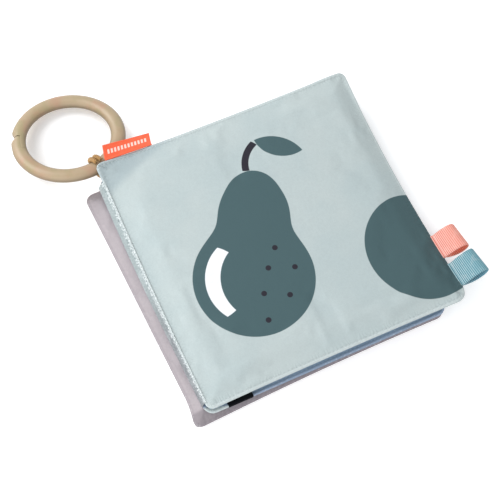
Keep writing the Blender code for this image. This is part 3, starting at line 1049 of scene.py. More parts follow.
@dataclass(frozen=True)
class StitchRow:
    """A row of thread stitches along a path, laid by Geometry Nodes.

    Args:
        pitch: From one stitch to the next.
        length: A stitch's length.
        radius: Half its thickness.
        sides: Points round a stitch.
        rings: Steps along it.
    """

    pitch: float = 2.3 * MM
    length: float = 1.8 * MM
    radius: float = 0.14 * MM
    sides: int = 8
    rings: int = 6

    def group(self) -> bpy.types.NodeTree:
        """Build the node group once.

        Returns:
            The group.
        """
        known = bpy.data.node_groups.get("stitch_row")
        if known is not None:
            return known
        maker = open_group("stitch_row", (
            ("Path", "Geometry"), ("Pitch", "Float"), ("Length", "Float"), ("Radius", "Float"),
            ("Finish", "Material")), "Stitches")
        given = maker.node("NodeGroupInput").outputs
        points = maker.node("GeometryNodeCurveToPoints", {"mode": "LENGTH"},
                            {"Curve": given["Path"], "Length": given["Pitch"]})
        turn = maker.node("FunctionNodeAlignRotationToVector", {"axis": "X"},
                          {"Vector": points.outputs["Tangent"]})
        ball = maker.node("GeometryNodeMeshUVSphere", {},
                          {"Segments": self.sides, "Rings": self.rings, "Radius": 1.0})
        half = Field(maker, given["Length"]) * 0.5
        stretch = maker.node(
            "ShaderNodeCombineXYZ", {}, {0: half, 1: given["Radius"], 2: given["Radius"]})
        shaped = maker.node("GeometryNodeTransform", {},
                            {"Geometry": ball.outputs["Mesh"], "Scale": stretch.outputs[0]})
        close_group(maker, {"Points": points.outputs["Points"], "Instance": shaped.outputs[0],
                            "Rotation": turn.outputs[0]}, given["Finish"])
        return maker.tree

    def lay(self, name: str, paths: Sequence[Grid], finish: Finish) -> Piece:
        """Lay stitches along some paths.

        Args:
            name: The piece's name.
            paths: Point rows, each N by 3.
            finish: The thread's finish.

        Returns:
            The stitches as one plain mesh.
        """
        curve = bpy.data.curves.new(name, "CURVE")
        curve.dimensions = "3D"
        for path in paths:
            spline = curve.splines.new("POLY")
            spline.points.add(len(path) - 1)
            spline.points.foreach_set(
                "co", np.concatenate([path, np.ones((len(path), 1))], axis=1).ravel())
        return apply_group(linked(name + "_path", curve), self.group(), name, {
            "Pitch": self.pitch, "Length": self.length, "Radius": self.radius,
            "Finish": finish.material()})


@dataclass(frozen=True)
class Nap:
    """Short upright bristles or loops on a tape's face, by Geometry Nodes.

    Args:
        density: Bristles on a square metre.
        height: How far they stand up.
        radius: Half a bristle's thickness.
        seed: The scatter's fixed seed.
        sides: Points round a bristle.
    """

    density: float
    height: float
    radius: float
    seed: int
    sides: int = 5

    def group(self) -> bpy.types.NodeTree:
        """Build the node group once.

        Returns:
            The group.
        """
        known = bpy.data.node_groups.get("nap")
        if known is not None:
            return known
        maker = open_group("nap", (
            ("Face", "Geometry"), ("Density", "Float"), ("Height", "Float"), ("Radius", "Float"),
            ("Seed", "Int"), ("Finish", "Material")), "Bristles")
        given = maker.node("NodeGroupInput").outputs
        spread = maker.node(
            "GeometryNodeDistributePointsOnFaces", {"distribute_method": "RANDOM"},
            {"Mesh": given["Face"], "Density": given["Density"], "Seed": given["Seed"]}).outputs
        bristle = maker.node(
            "GeometryNodeMeshCone", {},
            {"Vertices": self.sides, "Radius Top": Field(maker, given["Radius"]) * 0.5,
             "Radius Bottom": given["Radius"], "Depth": given["Height"]})
        close_group(maker, {"Points": spread["Points"], "Instance": bristle.outputs["Mesh"],
                            "Rotation": spread["Rotation"]}, given["Finish"])
        return maker.tree

    def grow(self, name: str, face: Grid, finish: Finish) -> Piece:
        """Grow the nap on a grid of points.

        Args:
            name: The piece's name.
            face: The face's points, columns by rows by 3, wound to face outwards.
            finish: The nap's finish.

        Returns:
            The nap as one plain mesh.
        """
        mesh = bpy.data.meshes.new(name + "_face")
        mesh.from_pydata(face.reshape(-1, 3).tolist(), [], grid_faces(*face.shape[:2]))
        mesh.update()
        return apply_group(linked(name + "_face", mesh), self.group(), name, {
            "Density": self.density, "Height": self.height, "Radius": self.radius,
            "Seed": self.seed, "Finish": finish.material()})


def apply_group(
    holder: Piece,
    group: bpy.types.NodeTree,
    name: str,
    values: Mapping[str, object],
) -> Piece:
    """Run a node group on an object and keep the result as a plain mesh.

    Args:
        holder: The object that gives the input; it's removed.
        group: The node group.
        name: The new piece's name.
        values: The group's named inputs.

    Returns:
        The plain mesh object.
    """
    modifier = holder.modifiers.new("repeat", "NODES")
    modifier.node_group = group
    for item in group.interface.items_tree:
        if item.item_type == "SOCKET" and item.in_out == "INPUT" and item.name in values:
            modifier[item.identifier] = values[item.name]
    holder.update_tag()
    bpy.context.view_layer.update()
    depsgraph = bpy.context.evaluated_depsgraph_get()
    mesh = bpy.data.meshes.new_from_object(
        holder.evaluated_get(depsgraph), preserve_all_data_layers=True, depsgraph=depsgraph)
    mesh.name = name
    mesh.shade_smooth()
    bpy.data.objects.remove(holder, do_unlink=True)
    LOG.info("%s: %d faces", name, len(mesh.polygons))
    return linked(name, mesh)


# The book's sub-assemblies


class Side(Enum):
    """Which way a face, an edge or a fold looks."""

    LEFT = -1
    RIGHT = 1
    NEAR = -3
    FAR = 3
    BELOW = -2
    ABOVE = 2


@dataclass(frozen=True)
class Dent:
    """A soft hollow or ridge in a panel's upper cloth, its sizes in millimetres.

    Args:
        x: Its middle, from the panel's middle.
        y: Its middle, from the panel's middle.
        length: Half its length.
        width: Half its width.
        bearing: Which way it runs, in degrees from X.
        height: How far it rises, or sinks below zero.
    """

    x: float
    y: float
    length: float
    width: float
    bearing: float
    height: float

    def at(self, x: Grid, y: Grid) -> Grid:
        """Find the height that it adds.

        Args:
            x: Points from the panel's middle, in metres.
            y: Points from the panel's middle, in metres.

        Returns:
            The added heights in metres.
        """
        turn = math.radians(self.bearing)
        off_x, off_y = x - self.x * MM, y - self.y * MM
        along = (off_x * math.cos(turn) + off_y * math.sin(turn)) / (self.length * MM)
        across = (off_y * math.cos(turn) - off_x * math.sin(turn)) / (self.width * MM)
        return self.height * MM * np.exp(-along ** 2 - across ** 2)


@dataclass(frozen=True)
class Settling:
    """How a coarse pad settles as cloth, and how much of that is kept.

    Args:
        points: The coarse pad's points along each side.
        pinned: How far inside the rim the cloth is held.
        frames: How many frames it settles for.
        blurs: How many passes of blurring find the broad swelling.
        limit: How high a kept wrinkle may stand above.
        lower_share: The share of that height below.
        settings: The values of Blender's cloth settings.
    """

    points: int = 46
    pinned: float = 1.2 * MM
    frames: int = 20
    blurs: int = 30
    limit: float = 0.34 * MM
    lower_share: float = 0.3
    settings: Constants = (
        ("quality", 7), ("mass", 0.15), ("tension_stiffness", 18), ("compression_stiffness", 14),
        ("shear_stiffness", 6), ("bending_stiffness", 0.02), ("use_pressure", True),
        ("uniform_pressure_force", 3.2), ("vertex_group_mass", "rim"), ("shrink_min", -0.035))


@dataclass
class PaddedPanel:
    """One padded panel: two cloths over wadding, sewn flat round the edge.

    Args:
        name: The piece's name.
        body: The body that it moves with.
        nodes: The CAD nodes that it stands for.
        slot: The record's material slot; not used.
        width: Its size along X.
        height: Its size along Y.
        centre: Its middle, on the seam.
        radii: The corners' radii, near left, near right, far left, far right.
        bows: How far the left, right, near and far edges bow outwards.
        upper: The upper cloth's finish.
        lower: The lower cloth's finish.
        patch: The closure patch that presses the pad, or nothing.
        patch_side: The side that the patch is on.
        lean: How far the left edge leans.
        slant: How far the left and right edges are set off along Y.
        curled: Whether a corner curls up and the right edge droops.
        dents: Soft hollows and ridges in the upper cloth.
        dent_start: How far inside the edge the dents begin.
        dent_ramp: How far they take to reach their full height.
        soft_crown: How far the upper cloth rises gently, or 0 for a plain crown.
        soft_start: How far inside the edge that gentle rise starts.
        thickness: How thick the pad is at its middle.
        rim_half: Half the thickness of the sewn edge.
        flange: How wide the flat sewn edge is.
        crown: How far from there the pad swells to its full thickness.
        dome: How much higher the middle of a curled panel stands.
        patch_seat: Half the thickness that a closure patch leaves.
        patch_margin: How far round the patch the padding is fully pressed.
        patch_ease: How far from there it takes to recover.
        corner_lift: How far the curled corner lifts.
        lift_reach: How far from the corner the lift begins.
        corner_pull: How far the lifted corner is drawn in along X and Y.
        droop: How far a curled panel's right edge hangs down.
        droop_from: Where along X that begins, in the frame.
        stitch_inset: How far inside the rim the topstitching runs.
        stitched: The edges that are topstitched.
        ridge: How high the rolled edge stands.
        ridge_inset: How far inside the rim it stands highest.
        ridge_width: How far from there it falls off.
        groove: How deep the stitches pull the cloth in.
        groove_width: How far from the stitches that falls off.
        rim_round: How far inside the rim its rounding reaches.
        cloth_half: Half the least thickness, two cloths without padding.
        corner_flare: How far the near left corner flares out.
        flare_reach: How far up the left edge the flare reaches.
        stitch_points: Points along each row of stitches.
        thread_proud: How far the thread's middle stands off the cloth.
        rim_lines: Where grid lines run near a rim, in millimetres from it.
        line_step: From one grid line to the next, further in.
        settling: How the pad settles as cloth.
        relief: The wrinkles above and below, once the pad has settled.
    """

    name: str
    body: str
    nodes: Tuple[str, ...]
    slot: str
    width: float
    height: float
    centre: Tuple[float, float, float]
    radii: Tuple[float, float, float, float]
    bows: Tuple[float, float, float, float]
    upper: Finish
    lower: Finish
    patch: Optional[str] = None
    patch_side: Optional[Side] = None
    lean: float = 0.0
    slant: float = 0.0
    curled: bool = False
    dents: Tuple[Dent, ...] = ()
    dent_start: float = 2.5 * MM
    dent_ramp: float = 7 * MM
    soft_crown: float = 0.0
    soft_start: float = 0.5 * MM
    thickness: float = 6 * MM
    rim_half: float = 0.65 * MM
    flange: float = 2 * MM
    crown: float = 8 * MM
    dome: float = 0.8 * MM
    patch_seat: float = 1.6 * MM
    patch_margin: float = 1 * MM
    patch_ease: float = 5 * MM
    corner_lift: float = 5.5 * MM
    lift_reach: float = 24 * MM
    corner_pull: Tuple[float, float] = (1.4 * MM, 2.1 * MM)
    droop: float = 1.5 * MM
    droop_from: float = 73 * MM
    stitch_inset: float = 2.0 * MM
    stitched: Tuple[Side, ...] = (Side.LEFT, Side.RIGHT, Side.NEAR, Side.FAR)
    ridge: float = 0.16 * MM
    ridge_inset: float = 0.9 * MM
    ridge_width: float = 0.6 * MM
    groove: float = 0.16 * MM
    groove_width: float = 0.4 * MM
    rim_round: float = 0.8 * MM
    cloth_half: float = 0.16 * MM
    corner_flare: float = 0.0
    flare_reach: float = 17 * MM
    stitch_points: int = 130
    thread_proud: float = 0.04 * MM
    rim_lines: Tuple[float, ...] = (
        0, 0.12, 0.3, 0.55, 0.85, 1.2, 1.55, 1.85, 2.1, 2.35, 2.65, 3.0, 3.5, 4.1, 4.8, 5.6, 6.5,
        7.5, 8.6, 9.8)
    line_step: float = 1.45 * MM
    settling: Settling = Settling()
    relief: Optional[Grid] = None

    def inset(self, x: Grid, y: Grid) -> Grid:
        """Measure how far points are from the nearest edge."""
        return np.minimum(self.width / 2 - np.abs(x), self.height / 2 - np.abs(y))

    def lift_share(self, x: Grid, y: Grid) -> Grid:
        """Find how far the far left corner curls up.

        Args:
            x: Points from the panel's middle.
            y: Points from the panel's middle.

        Returns:
            Shares from 0 to 1.
        """
        if not self.curled:
            return np.zeros_like(x)
        inwards = (x + self.width / 2 + self.height / 2 - y) / math.sqrt(2)
        return np.clip(1 - inwards / self.lift_reach, 0, None) ** 2

    def plan(self, x: Grid, y: Grid) -> Tuple[Grid, Grid, Grid]:
        """Move points of the plain rectangle to the sewn outline.

        Args:
            x: Points from the panel's middle.
            y: Points from the panel's middle.

        Returns:
            The new X and Y from the middle, and the seam's rise.
        """
        wide, high = self.width / 2, self.height / 2
        across, along = wide - np.abs(x), high - np.abs(y)
        radius = np.asarray(self.radii)[(x > 0).astype(int) + 2 * (y > 0).astype(int)]
        reach_x = np.clip(radius - across, 1e-9, None)
        reach_y = np.clip(radius - along, 1e-9, None)
        shrink = np.maximum(reach_x, reach_y) / np.hypot(reach_x, reach_y)
        rounded = (across < radius) & (along < radius)
        new_x = np.where(rounded, np.copysign(wide - radius + reach_x * shrink, x), x)
        new_y = np.where(rounded, np.copysign(high - radius + reach_y * shrink, y), y)
        share_x, share_y = x / wide, y / high
        left, right, near, far = self.bows
        new_x = new_x + np.where(x > 0, right, -left) * np.abs(share_x) ** 3 * (1 - share_y ** 2)
        new_y = new_y + np.where(y > 0, far, -near) * np.abs(share_y) ** 3 * (1 - share_x ** 2)
        new_x = new_x - self.lean * (1 - share_x) / 2 * share_y / 2
        new_y = new_y + self.slant * share_x
        if self.corner_flare:
            from_corner = np.clip(1 - (y + high) / self.flare_reach, 0, 1) ** 1.6
            new_x = new_x - self.corner_flare * from_corner * ((1 - share_x) / 2) ** 6
        lifted = self.lift_share(x, y)
        rise = self.corner_lift * lifted
        if self.curled:
            overhang = self.centre[0] + wide - self.droop_from
            beyond = np.clip(self.centre[0] + x - self.droop_from, 0, None)
            rise = rise - self.droop * (beyond / overhang) ** 2
        return new_x - self.corner_pull[0] * lifted, new_y - self.corner_pull[1] * lifted, rise

    def sewn_inset(self, x: Grid, y: Grid) -> Grid:
        """Measure how far points are from the nearest topstitched edge.

        Args:
            x: Points from the panel's middle.
            y: Points from the panel's middle.

        Returns:
            The distances.
        """
        wide, high = self.width / 2, self.height / 2
        insets = {
            Side.LEFT: wide + x, Side.RIGHT: wide - x, Side.NEAR: high + y, Side.FAR: high - y}
        nearest = np.full_like(x, wide)
        for side in self.stitched:
            nearest = np.minimum(nearest, insets[side])
        return nearest

    def pressed(self, x: Grid, y: Grid) -> Grid:
        """Find where the closure patch presses the padding.

        Args:
            x: Points from the panel's middle.
            y: Points from the panel's middle.

        Returns:
            Shares, 1 over the patch and 0 well away from it.
        """
        low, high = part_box(self.patch)
        world_x, world_y = self.centre[0] + x, self.centre[1] + y
        beyond_x = np.maximum(low[0] - world_x, world_x - high[0]) - self.patch_margin
        beyond_y = np.maximum(low[1] - world_y, world_y - high[1]) - self.patch_margin
        beyond = np.maximum(np.maximum(beyond_x, beyond_y), 0)
        return smoothed(1 - beyond / self.patch_ease)

    def half(self, x: Grid, y: Grid, side: Side) -> Grid:
        """Find the pad's half thickness on one side.

        Args:
            x: Points from the panel's middle.
            y: Points from the panel's middle.
            side: Above or below.

        Returns:
            The heights over the seam.
        """
        inside = self.inset(x, y)
        full = self.thickness / 2
        rise = np.clip((inside - self.flange) / self.crown, 0, 1)
        share = 1 - (1 - rise) ** 2
        if side is Side.ABOVE and self.soft_crown:
            share = smoothed((inside - self.soft_start) / self.soft_crown)
        half = self.rim_half + (full - self.rim_half) * share
        if self.patch is not None and side is self.patch_side:
            half = half - np.maximum(0, half - self.patch_seat) * self.pressed(x, y)
        if side is Side.BELOW:
            flat = np.minimum(1.0, 2.5 * self.lift_share(x, y))
            half = half - (half - self.rim_half) * flat
        elif self.curled:
            half = half + (self.dome * (1 - (2 * x / self.width) ** 2)
                           * (1 - (2 * y / self.height) ** 2))
        sewn = self.sewn_inset(x, y)
        half = half + self.ridge * bell(sewn, self.ridge_width, self.ridge_inset)
        half = half - self.groove * bell(sewn, self.groove_width, self.stitch_inset)
        edge = np.sqrt(1 - (1 - np.clip(inside / self.rim_round, 0, 1)) ** 2)
        return np.maximum(half * edge, self.cloth_half)

    def surface(self, x: Grid, y: Grid, side: Side, proud: float = 0.0) -> Grid:
        """Find points of the panel's cloth in the frame.

        Args:
            x: Points from the panel's middle.
            y: Points from the panel's middle.
            side: Above or below.
            proud: How far to stand off the cloth.

        Returns:
            The points, with a last axis of 3.
        """
        up = 1 if side is Side.ABOVE else -1
        height = self.half(x, y, side) + proud
        if side is Side.ABOVE:
            ease = smoothed((self.inset(x, y) - self.dent_start) / self.dent_ramp)
            for dent in self.dents:
                height = height + dent.at(x, y) * ease
        if self.relief is not None:
            height = height + self.sample(x, y, 0 if side is Side.ABOVE else 1)
        new_x, new_y, rise = self.plan(x, y)
        slope = 2 * self.corner_lift / self.lift_reach * np.sqrt(self.lift_share(x, y) / 2)
        length = np.sqrt(1 + 2 * slope ** 2)
        offset = up * height / length
        points = np.stack([new_x + slope * offset, new_y - slope * offset, rise + offset], axis=-1)
        return points + np.asarray(self.centre)

    def sample(self, x: Grid, y: Grid, layer: int) -> Grid:
        """Read the simulated relief between its points.

        Args:
            x: Points from the panel's middle.
            y: Points from the panel's middle.
            layer: 0 for the upper cloth and 1 for the lower one.

        Returns:
            The relief's heights.
        """
        steps = self.settling.points - 1
        across = np.clip((x / self.width + 0.5) * steps, 0, steps - 1e-6)
        along = np.clip((y / self.height + 0.5) * steps, 0, steps - 1e-6)
        column, row = across.astype(int), along.astype(int)
        right, far = smoothed(across - column), smoothed(along - row)
        grid = self.relief[layer]
        near_side = grid[column, row] * (1 - right) + grid[column + 1, row] * right
        far_side = grid[column, row + 1] * (1 - right) + grid[column + 1, row + 1] * right
        return near_side * (1 - far) + far_side * far

    def relax(self) -> None:
        """Let a coarse pad settle as cloth and keep the wrinkles that it gets.

        The rim is pinned, the cloth is cut slightly fuller than the pad and the
        wadding presses it out. The relief is capped so that panels stay clear
        of one another.
        """
        way = self.settling
        span = np.linspace(-0.5, 0.5, way.points)
        x, y = np.meshgrid(span * self.width, span * self.height, indexing="ij")
        upper, lower = self.surface(x, y, Side.ABOVE), self.surface(x, y, Side.BELOW)
        pad = two_skins(self.name + "_coarse", upper, lower, ())
        held = np.flatnonzero(np.tile(self.inset(x, y).ravel() < way.pinned, 2))
        pad.vertex_groups.new(name="rim").add(held.tolist(), 1.0, "REPLACE")
        cloth = pad.modifiers.new("cloth", "CLOTH")
        for name, value in way.settings:
            setattr(cloth.settings, name, value)
        cloth.settings.effector_weights.gravity = 0
        cloth.collision_settings.use_collision = False
        cloth.point_cache.frame_start = 1
        cloth.point_cache.frame_end = way.frames
        scene = bpy.context.scene
        for moment in range(1, way.frames + 1):
            scene.frame_set(moment)
        settled = pad.evaluated_get(bpy.context.evaluated_depsgraph_get()).to_mesh()
        points = np.empty(len(settled.vertices) * 3, dtype=np.float32)
        settled.vertices.foreach_get("co", points)
        above, below = points.reshape(2, way.points, way.points, 3)[..., 2]
        scene.frame_set(1)
        moved = np.stack([above - upper[..., 2], lower[..., 2] - below])
        moved = np.where(np.isfinite(moved), moved, 0.0)
        LOG.info("%s settled: %.2f to %.2f mm", self.name, moved.min() / MM, moved.max() / MM)
        broad = moved.copy()
        for _ in range(way.blurs):
            padded = np.pad(broad, ((0, 0), (1, 1), (1, 1)), mode="edge")
            broad = (padded[:, :-2, 1:-1] + padded[:, 2:, 1:-1]
                     + padded[:, 1:-1, :-2] + padded[:, 1:-1, 2:]) / 4
        caps = np.array([way.limit, way.limit * way.lower_share])[:, None, None]
        self.relief = caps * np.tanh((moved - broad) / caps)
        bpy.data.objects.remove(pad, do_unlink=True)

    def lines(self, size: float) -> Grid:
        """Place grid lines, close together near the edges.

        Args:
            size: The panel's size along the axis.

        Returns:
            The lines' places from the panel's middle.
        """
        near = np.array(self.rim_lines) * MM
        count = int(round((size - 2 * near[-1]) / self.line_step))
        middle = np.linspace(near[-1], size - near[-1], count + 1)[1:-1]
        return np.concatenate([near, middle, size - near[::-1]]) - size / 2

    def edge_paths(self, inset: float, side: Side, proud: float) -> List[Grid]:
        """Follow the panel's stitched edges at an inset.

        Args:
            inset: How far inside the rim.
            side: Above or below.
            proud: How far off the cloth.

        Returns:
            A row of points for each stitched edge.
        """
        wide, high = self.width / 2 - inset, self.height / 2 - inset
        across = np.linspace(-wide, wide, self.stitch_points)
        along = np.linspace(-high, high, self.stitch_points)
        edges = {
            Side.LEFT: (np.full_like(along, -wide), along),
            Side.RIGHT: (np.full_like(along, wide), along),
            Side.NEAR: (across, np.full_like(across, -high)),
            Side.FAR: (across, np.full_like(across, high)),
        }
        return [self.surface(*edges[edge], side, proud) for edge in self.stitched]

    def build(self) -> Piece:
        """Let the panel settle, then build and tie it.

        Returns:
            The panel.
        """
        self.relax()
        x, y = np.meshgrid(self.lines(self.width), self.lines(self.height), indexing="ij")
        across, along = self.width / 2 - np.abs(x), self.height / 2 - np.abs(y)
        rim = np.minimum(across, along)
        row = np.where(across < along, y, x)
        sewn = self.sewn_inset(x, y)
        panel = two_skins(
            self.name, self.surface(x, y, Side.ABOVE), self.surface(x, y, Side.BELOW),
            [self.upper.material(), self.lower.material()], lower_material=1,
            attributes={"rim": (rim, rim), "along": (row, row), "sewn": (sewn, sewn)})
        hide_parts(*self.nodes)
        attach(panel, self.body)
        return panel

    def stitch(self, thread: Finish) -> Piece:
        """Sew one row of topstitching round each side of the edge.

        Args:
            thread: The thread's finish.

        Returns:
            The stitches.
        """
        paths = [path for side in (Side.ABOVE, Side.BELOW)
                 for path in self.edge_paths(self.stitch_inset, side, self.thread_proud)]
        rows = StitchRow().lay(self.name + "_topstitch", paths, thread)
        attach(rows, self.body)
        return rows

    def seam(self, x: Grid, y: Grid) -> Grid:
        """Find the seam's points in the frame, for points from the middle."""
        return np.stack(self.plan(x, y), axis=-1) + np.asarray(self.centre)

    def edge_at(self, side: Side, world_y: Grid) -> Grid:
        """Find the seam of the left or right edge at places along Y in the frame."""
        y = world_y - self.centre[1]
        return self.seam(np.full_like(y, side.value * self.width / 2), y)

    def far_edge(self, from_left: Grid) -> Grid:
        """Find the seam of the far edge at distances from its left corner."""
        x = from_left - self.width / 2
        return self.seam(x, np.full_like(x, self.height / 2))

    def right_edge(self, from_front: Grid) -> Grid:
        """Find the seam of the right edge at distances from its near corner."""
        y = from_front - self.height / 2
        return self.seam(np.full_like(y, self.width / 2), y)


@dataclass
class FoldStrip:
    """The cloth that wraps a fold from one panel's edge to the next one's.

    Args:
        name: The piece's name.
        node: The CAD node that it stands for.
        slot: The record's material slot; not used.
        upper: The upper panel.
        lower: The lower panel.
        side: Which edge it's on.
        finish: Its cloth.
        half_length: Half its length along the fold.
        middle: Its middle along the fold, in the frame.
        bulge: How far it stands out at its middle.
        gap: How far it clears the seam.
        cloth: Its thickness.
        overlap: How far it laps over the upper panel's rim.
        turn_margin: How far from each seam it starts to turn with the fold.
        near_bulge: The share of the bulge that is left at the near end.
        ripples: Each ripple's height, length, drift and that drift's length, in millimetres.
        seam_allowance: How much of the cut is hidden in each seam.
        lap_end: How far inside the upper panel's rim the lap ends.
        lap_sink: How far the lap's sewn edge is sunk into the panel.
        lap_taper: How thick that edge is, as a share of the cloth.
        lean_reach: How far inside the rim the lap starts to lean outwards.
        steps: Points along the fold.
        turn_steps: Points round it.
        lap_steps: Points over the upper panel's rim.
        lap_turn: Where round the fold the lap takes over, in radians.
    """

    name: str
    node: str
    slot: str
    upper: PaddedPanel
    lower: PaddedPanel
    side: Side
    finish: Finish
    half_length: float = 67 * MM
    middle: float = 1 * MM
    bulge: float = 1.1 * MM
    gap: float = 0.3 * MM
    cloth: float = 0.36 * MM
    overlap: float = 1.2 * MM
    turn_margin: float = 0.4 * MM
    near_bulge: float = 1.0
    ripples: Tuple[Tuple[float, float, float, float], ...] = (
        (0.05, 0.9, 3.0, 5), (0.04, 0.43, 2.0, 3))
    seam_allowance: float = 1.5 * MM
    lap_end: float = 0.12 * MM
    lap_sink: float = 0.3 * MM
    lap_taper: float = 0.35
    lean_reach: float = 0.9 * MM
    steps: int = 360
    turn_steps: int = 27
    lap_steps: int = 9
    lap_turn: float = 0.45

    def build(self, thread: Finish) -> Piece:
        """Build the strip between the two panels and stitch it.

        Args:
            thread: The thread of the stitches over the upper panel's rim.

        Returns:
            The strip.
        """
        side = self.side.value
        along = self.middle + np.linspace(-self.half_length, self.half_length, self.steps)
        turns = np.linspace(0.0, math.pi, self.turn_steps)
        top = self.upper.edge_at(self.side, along)[:, None, :]
        bottom = self.lower.edge_at(self.side, along)[:, None, :]
        share = ((1 + np.cos(turns)) / 2)[None, :, None]
        ripple = sum(
            height * np.sin(along / (length * MM) + drift * np.sin(along / (reach * MM)))
            for height, length, drift, reach in self.ripples)
        fullness = self.near_bulge + (1 - self.near_bulge) * smoothed(
            (along + self.half_length) / (1.5 * self.half_length))
        puff = self.gap + ((self.bulge * fullness + ripple * MM)[:, None]
                           * np.sin(turns)[None, :])
        outward = np.zeros((1, len(turns), 3))
        outward[0, :, 0], outward[0, :, 2] = side * np.sin(turns), np.cos(turns)
        middle = bottom * (1 - share) + top * share
        middle[..., 0] += side * puff
        inset = np.linspace(self.overlap, self.lap_end, self.lap_steps)
        wide, tall = self.upper.width / 2, self.upper.height / 2
        spots = np.meshgrid(along - self.upper.centre[1], side * (wide - inset), indexing="ij")
        height = self.upper.half(spots[1], np.clip(spots[0], -tall, tall), Side.ABOVE)
        over = np.repeat(top, len(inset), axis=1)
        over[..., 0] -= side * inset
        over[..., 2] += height + self.cloth * 0.5
        over[:, 0, 2] -= self.lap_sink
        lean = np.clip(1 - inset / self.lean_reach, 0, 1) * math.pi / 3
        tilt = np.zeros((1, len(inset), 3))
        tilt[0, :, 0], tilt[0, :, 2] = side * np.sin(lean), np.cos(lean)
        keep = turns > self.lap_turn
        middle = np.concatenate([over, middle[:, keep]], axis=1)
        outward = np.concatenate([tilt, outward[:, keep]], axis=1)
        spans = np.linalg.norm(np.diff(middle, axis=1), axis=2).mean(axis=0)
        around = np.concatenate([[0.0], np.cumsum(spans)])[::-1]
        flat = np.stack(np.meshgrid(along + 0.1, around, indexing="ij"), axis=-1)
        taper = np.ones((1, middle.shape[1], 1))
        taper[0, 0] = self.lap_taper
        half = outward * taper * (self.cloth / 2)
        strip = two_skins(self.name, middle + half, middle - half, [self.finish.material()], flat)
        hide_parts(self.node)
        low, high = self.lower.centre[2], self.upper.centre[2]
        x = side * wide + self.upper.centre[0]
        low + self.turn_margin
        high - self.turn_margin
        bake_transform(strip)
        seams = 2 * self.seam_allowance
        2 * self.half_length
        float(around[0]) + seams
        2 * self.half_length * float(around[0])
        line = over[:, 3] + np.array([0, 0, self.cloth / 2])
        rows = StitchRow().lay(self.name + "_topstitch", [line], thread)
        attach(rows, self.upper.body)
        return strip


@dataclass
class RibbonLoop:
    """A ribbon folded back on itself and sewn in the right seam.

    Args:
        name: The piece's name.
        node: The CAD node that it stands for.
        body: The body that its free end moves with; not used.
        slot: The record's material slot; not used.
        from_front: Its middle's distance from the near corner.
        reach: How far it stands out.
        drift: How far its tip is set off along the seam.
        finish: Its weave.
        width: The ribbon's width.
        half_height: Half the loop's height where it's fullest.
        thickness: The ribbon's thickness.
        base_spread: Half the loop's height at the seam.
        seam_gap: How far from the seam the ribbon shows.
        tuck: How much further in its ends reach.
        skew: How far its lower half is set off along the seam.
        rise: How far its tip rises.
        flare: How much less it stands out at its far edge.
        rib: The pitch of its ribs.
        rib_height: How high the ribs stand.
        rib_sink: How far they start below the ribbon's face.
        bend_length: How far from where it shows the bend at the seam ends.
        steps: Points along the part that shows.
        tucked: Points along each end in the seam.
        columns: Points across the ribbon.
    """

    name: str
    node: str
    body: str
    slot: str
    from_front: float
    reach: float
    drift: float
    finish: Finish
    width: float = 14 * MM
    half_height: float = 5.2 * MM
    thickness: float = 0.8 * MM
    base_spread: float = 0.4 * MM
    seam_gap: float = 1.1 * MM
    tuck: float = 0.7 * MM
    skew: float = 1.5 * MM
    rise: float = 3 * MM
    flare: float = 1.4 * MM
    rib: float = 1.0 * MM
    rib_height: float = 0.11 * MM
    rib_sink: float = 0.06 * MM
    bend_length: float = 1.2 * MM
    steps: int = 280
    tucked: int = 8
    columns: int = 30

    def build(self, cover: PaddedPanel) -> Piece:
        """Build the loop at the cover's seam.

        Args:
            cover: The panel that it's sewn in.

        Returns:
            The loop.
        """
        shares = np.concatenate(
            [np.zeros(self.tucked), np.linspace(0, 1, self.steps), np.ones(self.tucked)])
        lead = np.linspace(1.0, 0.1, self.tucked)
        back = np.concatenate([lead, np.zeros(self.steps), lead[::-1]])
        across = np.linspace(-0.5, 0.5, self.columns)
        share, v = np.meshgrid(shares, across, indexing="ij")
        turn = math.pi * share
        outward = np.sin(turn) ** 2
        y = self.width * v
        seat = cover.right_edge(np.array([self.from_front]))[0]
        seam = cover.right_edge(self.from_front + y.ravel()).reshape(*y.shape, 3)
        out = (self.reach - self.flare * v) * outward + self.seam_gap
        out = out - back[:, None] * (self.seam_gap + self.tuck)
        up = self.half_height * np.sin(2 * turn) * np.sin(turn) + self.rise * outward
        up = up + self.base_spread * np.cos(turn)
        slip = (self.drift - self.skew * share) * outward
        middle = np.stack([seam[..., 0] + out, seat[1] + y + slip, seat[2] + up], axis=-1)
        normal = np.cross(np.gradient(middle, axis=0), np.gradient(middle, axis=1))
        normal /= np.linalg.norm(normal, axis=2, keepdims=True)
        spine, tip = self.columns // 2, len(shares) // 2
        length = path_lengths(middle[:, spine])
        outwards = np.copysign(1.0, normal[tip, spine, 0])
        edge = np.sqrt(1 - np.clip((np.abs(v) - 0.47) / 0.03, 0, 1) ** 2 * 0.8)
        ribs = self.rib_height * (0.5 + 0.5 * np.cos(length * 2 * math.pi / self.rib))[:, None]
        half = (self.thickness / 2 - self.rib_sink + ribs) * edge
        shift = normal * outwards * half[..., None]
        flat = np.stack(np.meshgrid(length, across * self.width + 0.05, indexing="ij"), axis=-1)
        count = share.size
        loop = two_skins(
            self.name, middle + shift, middle - shift, [self.finish.material()], flat,
            attributes={"inner": (np.zeros(count), np.ones(count)),
                        "near_seam": (1 - outward, 1 - outward)})
        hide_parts(self.node)
        end = (seat[0] + self.seam_gap + self.bend_length, seat[1], seat[2])
        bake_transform(loop)
        return loop


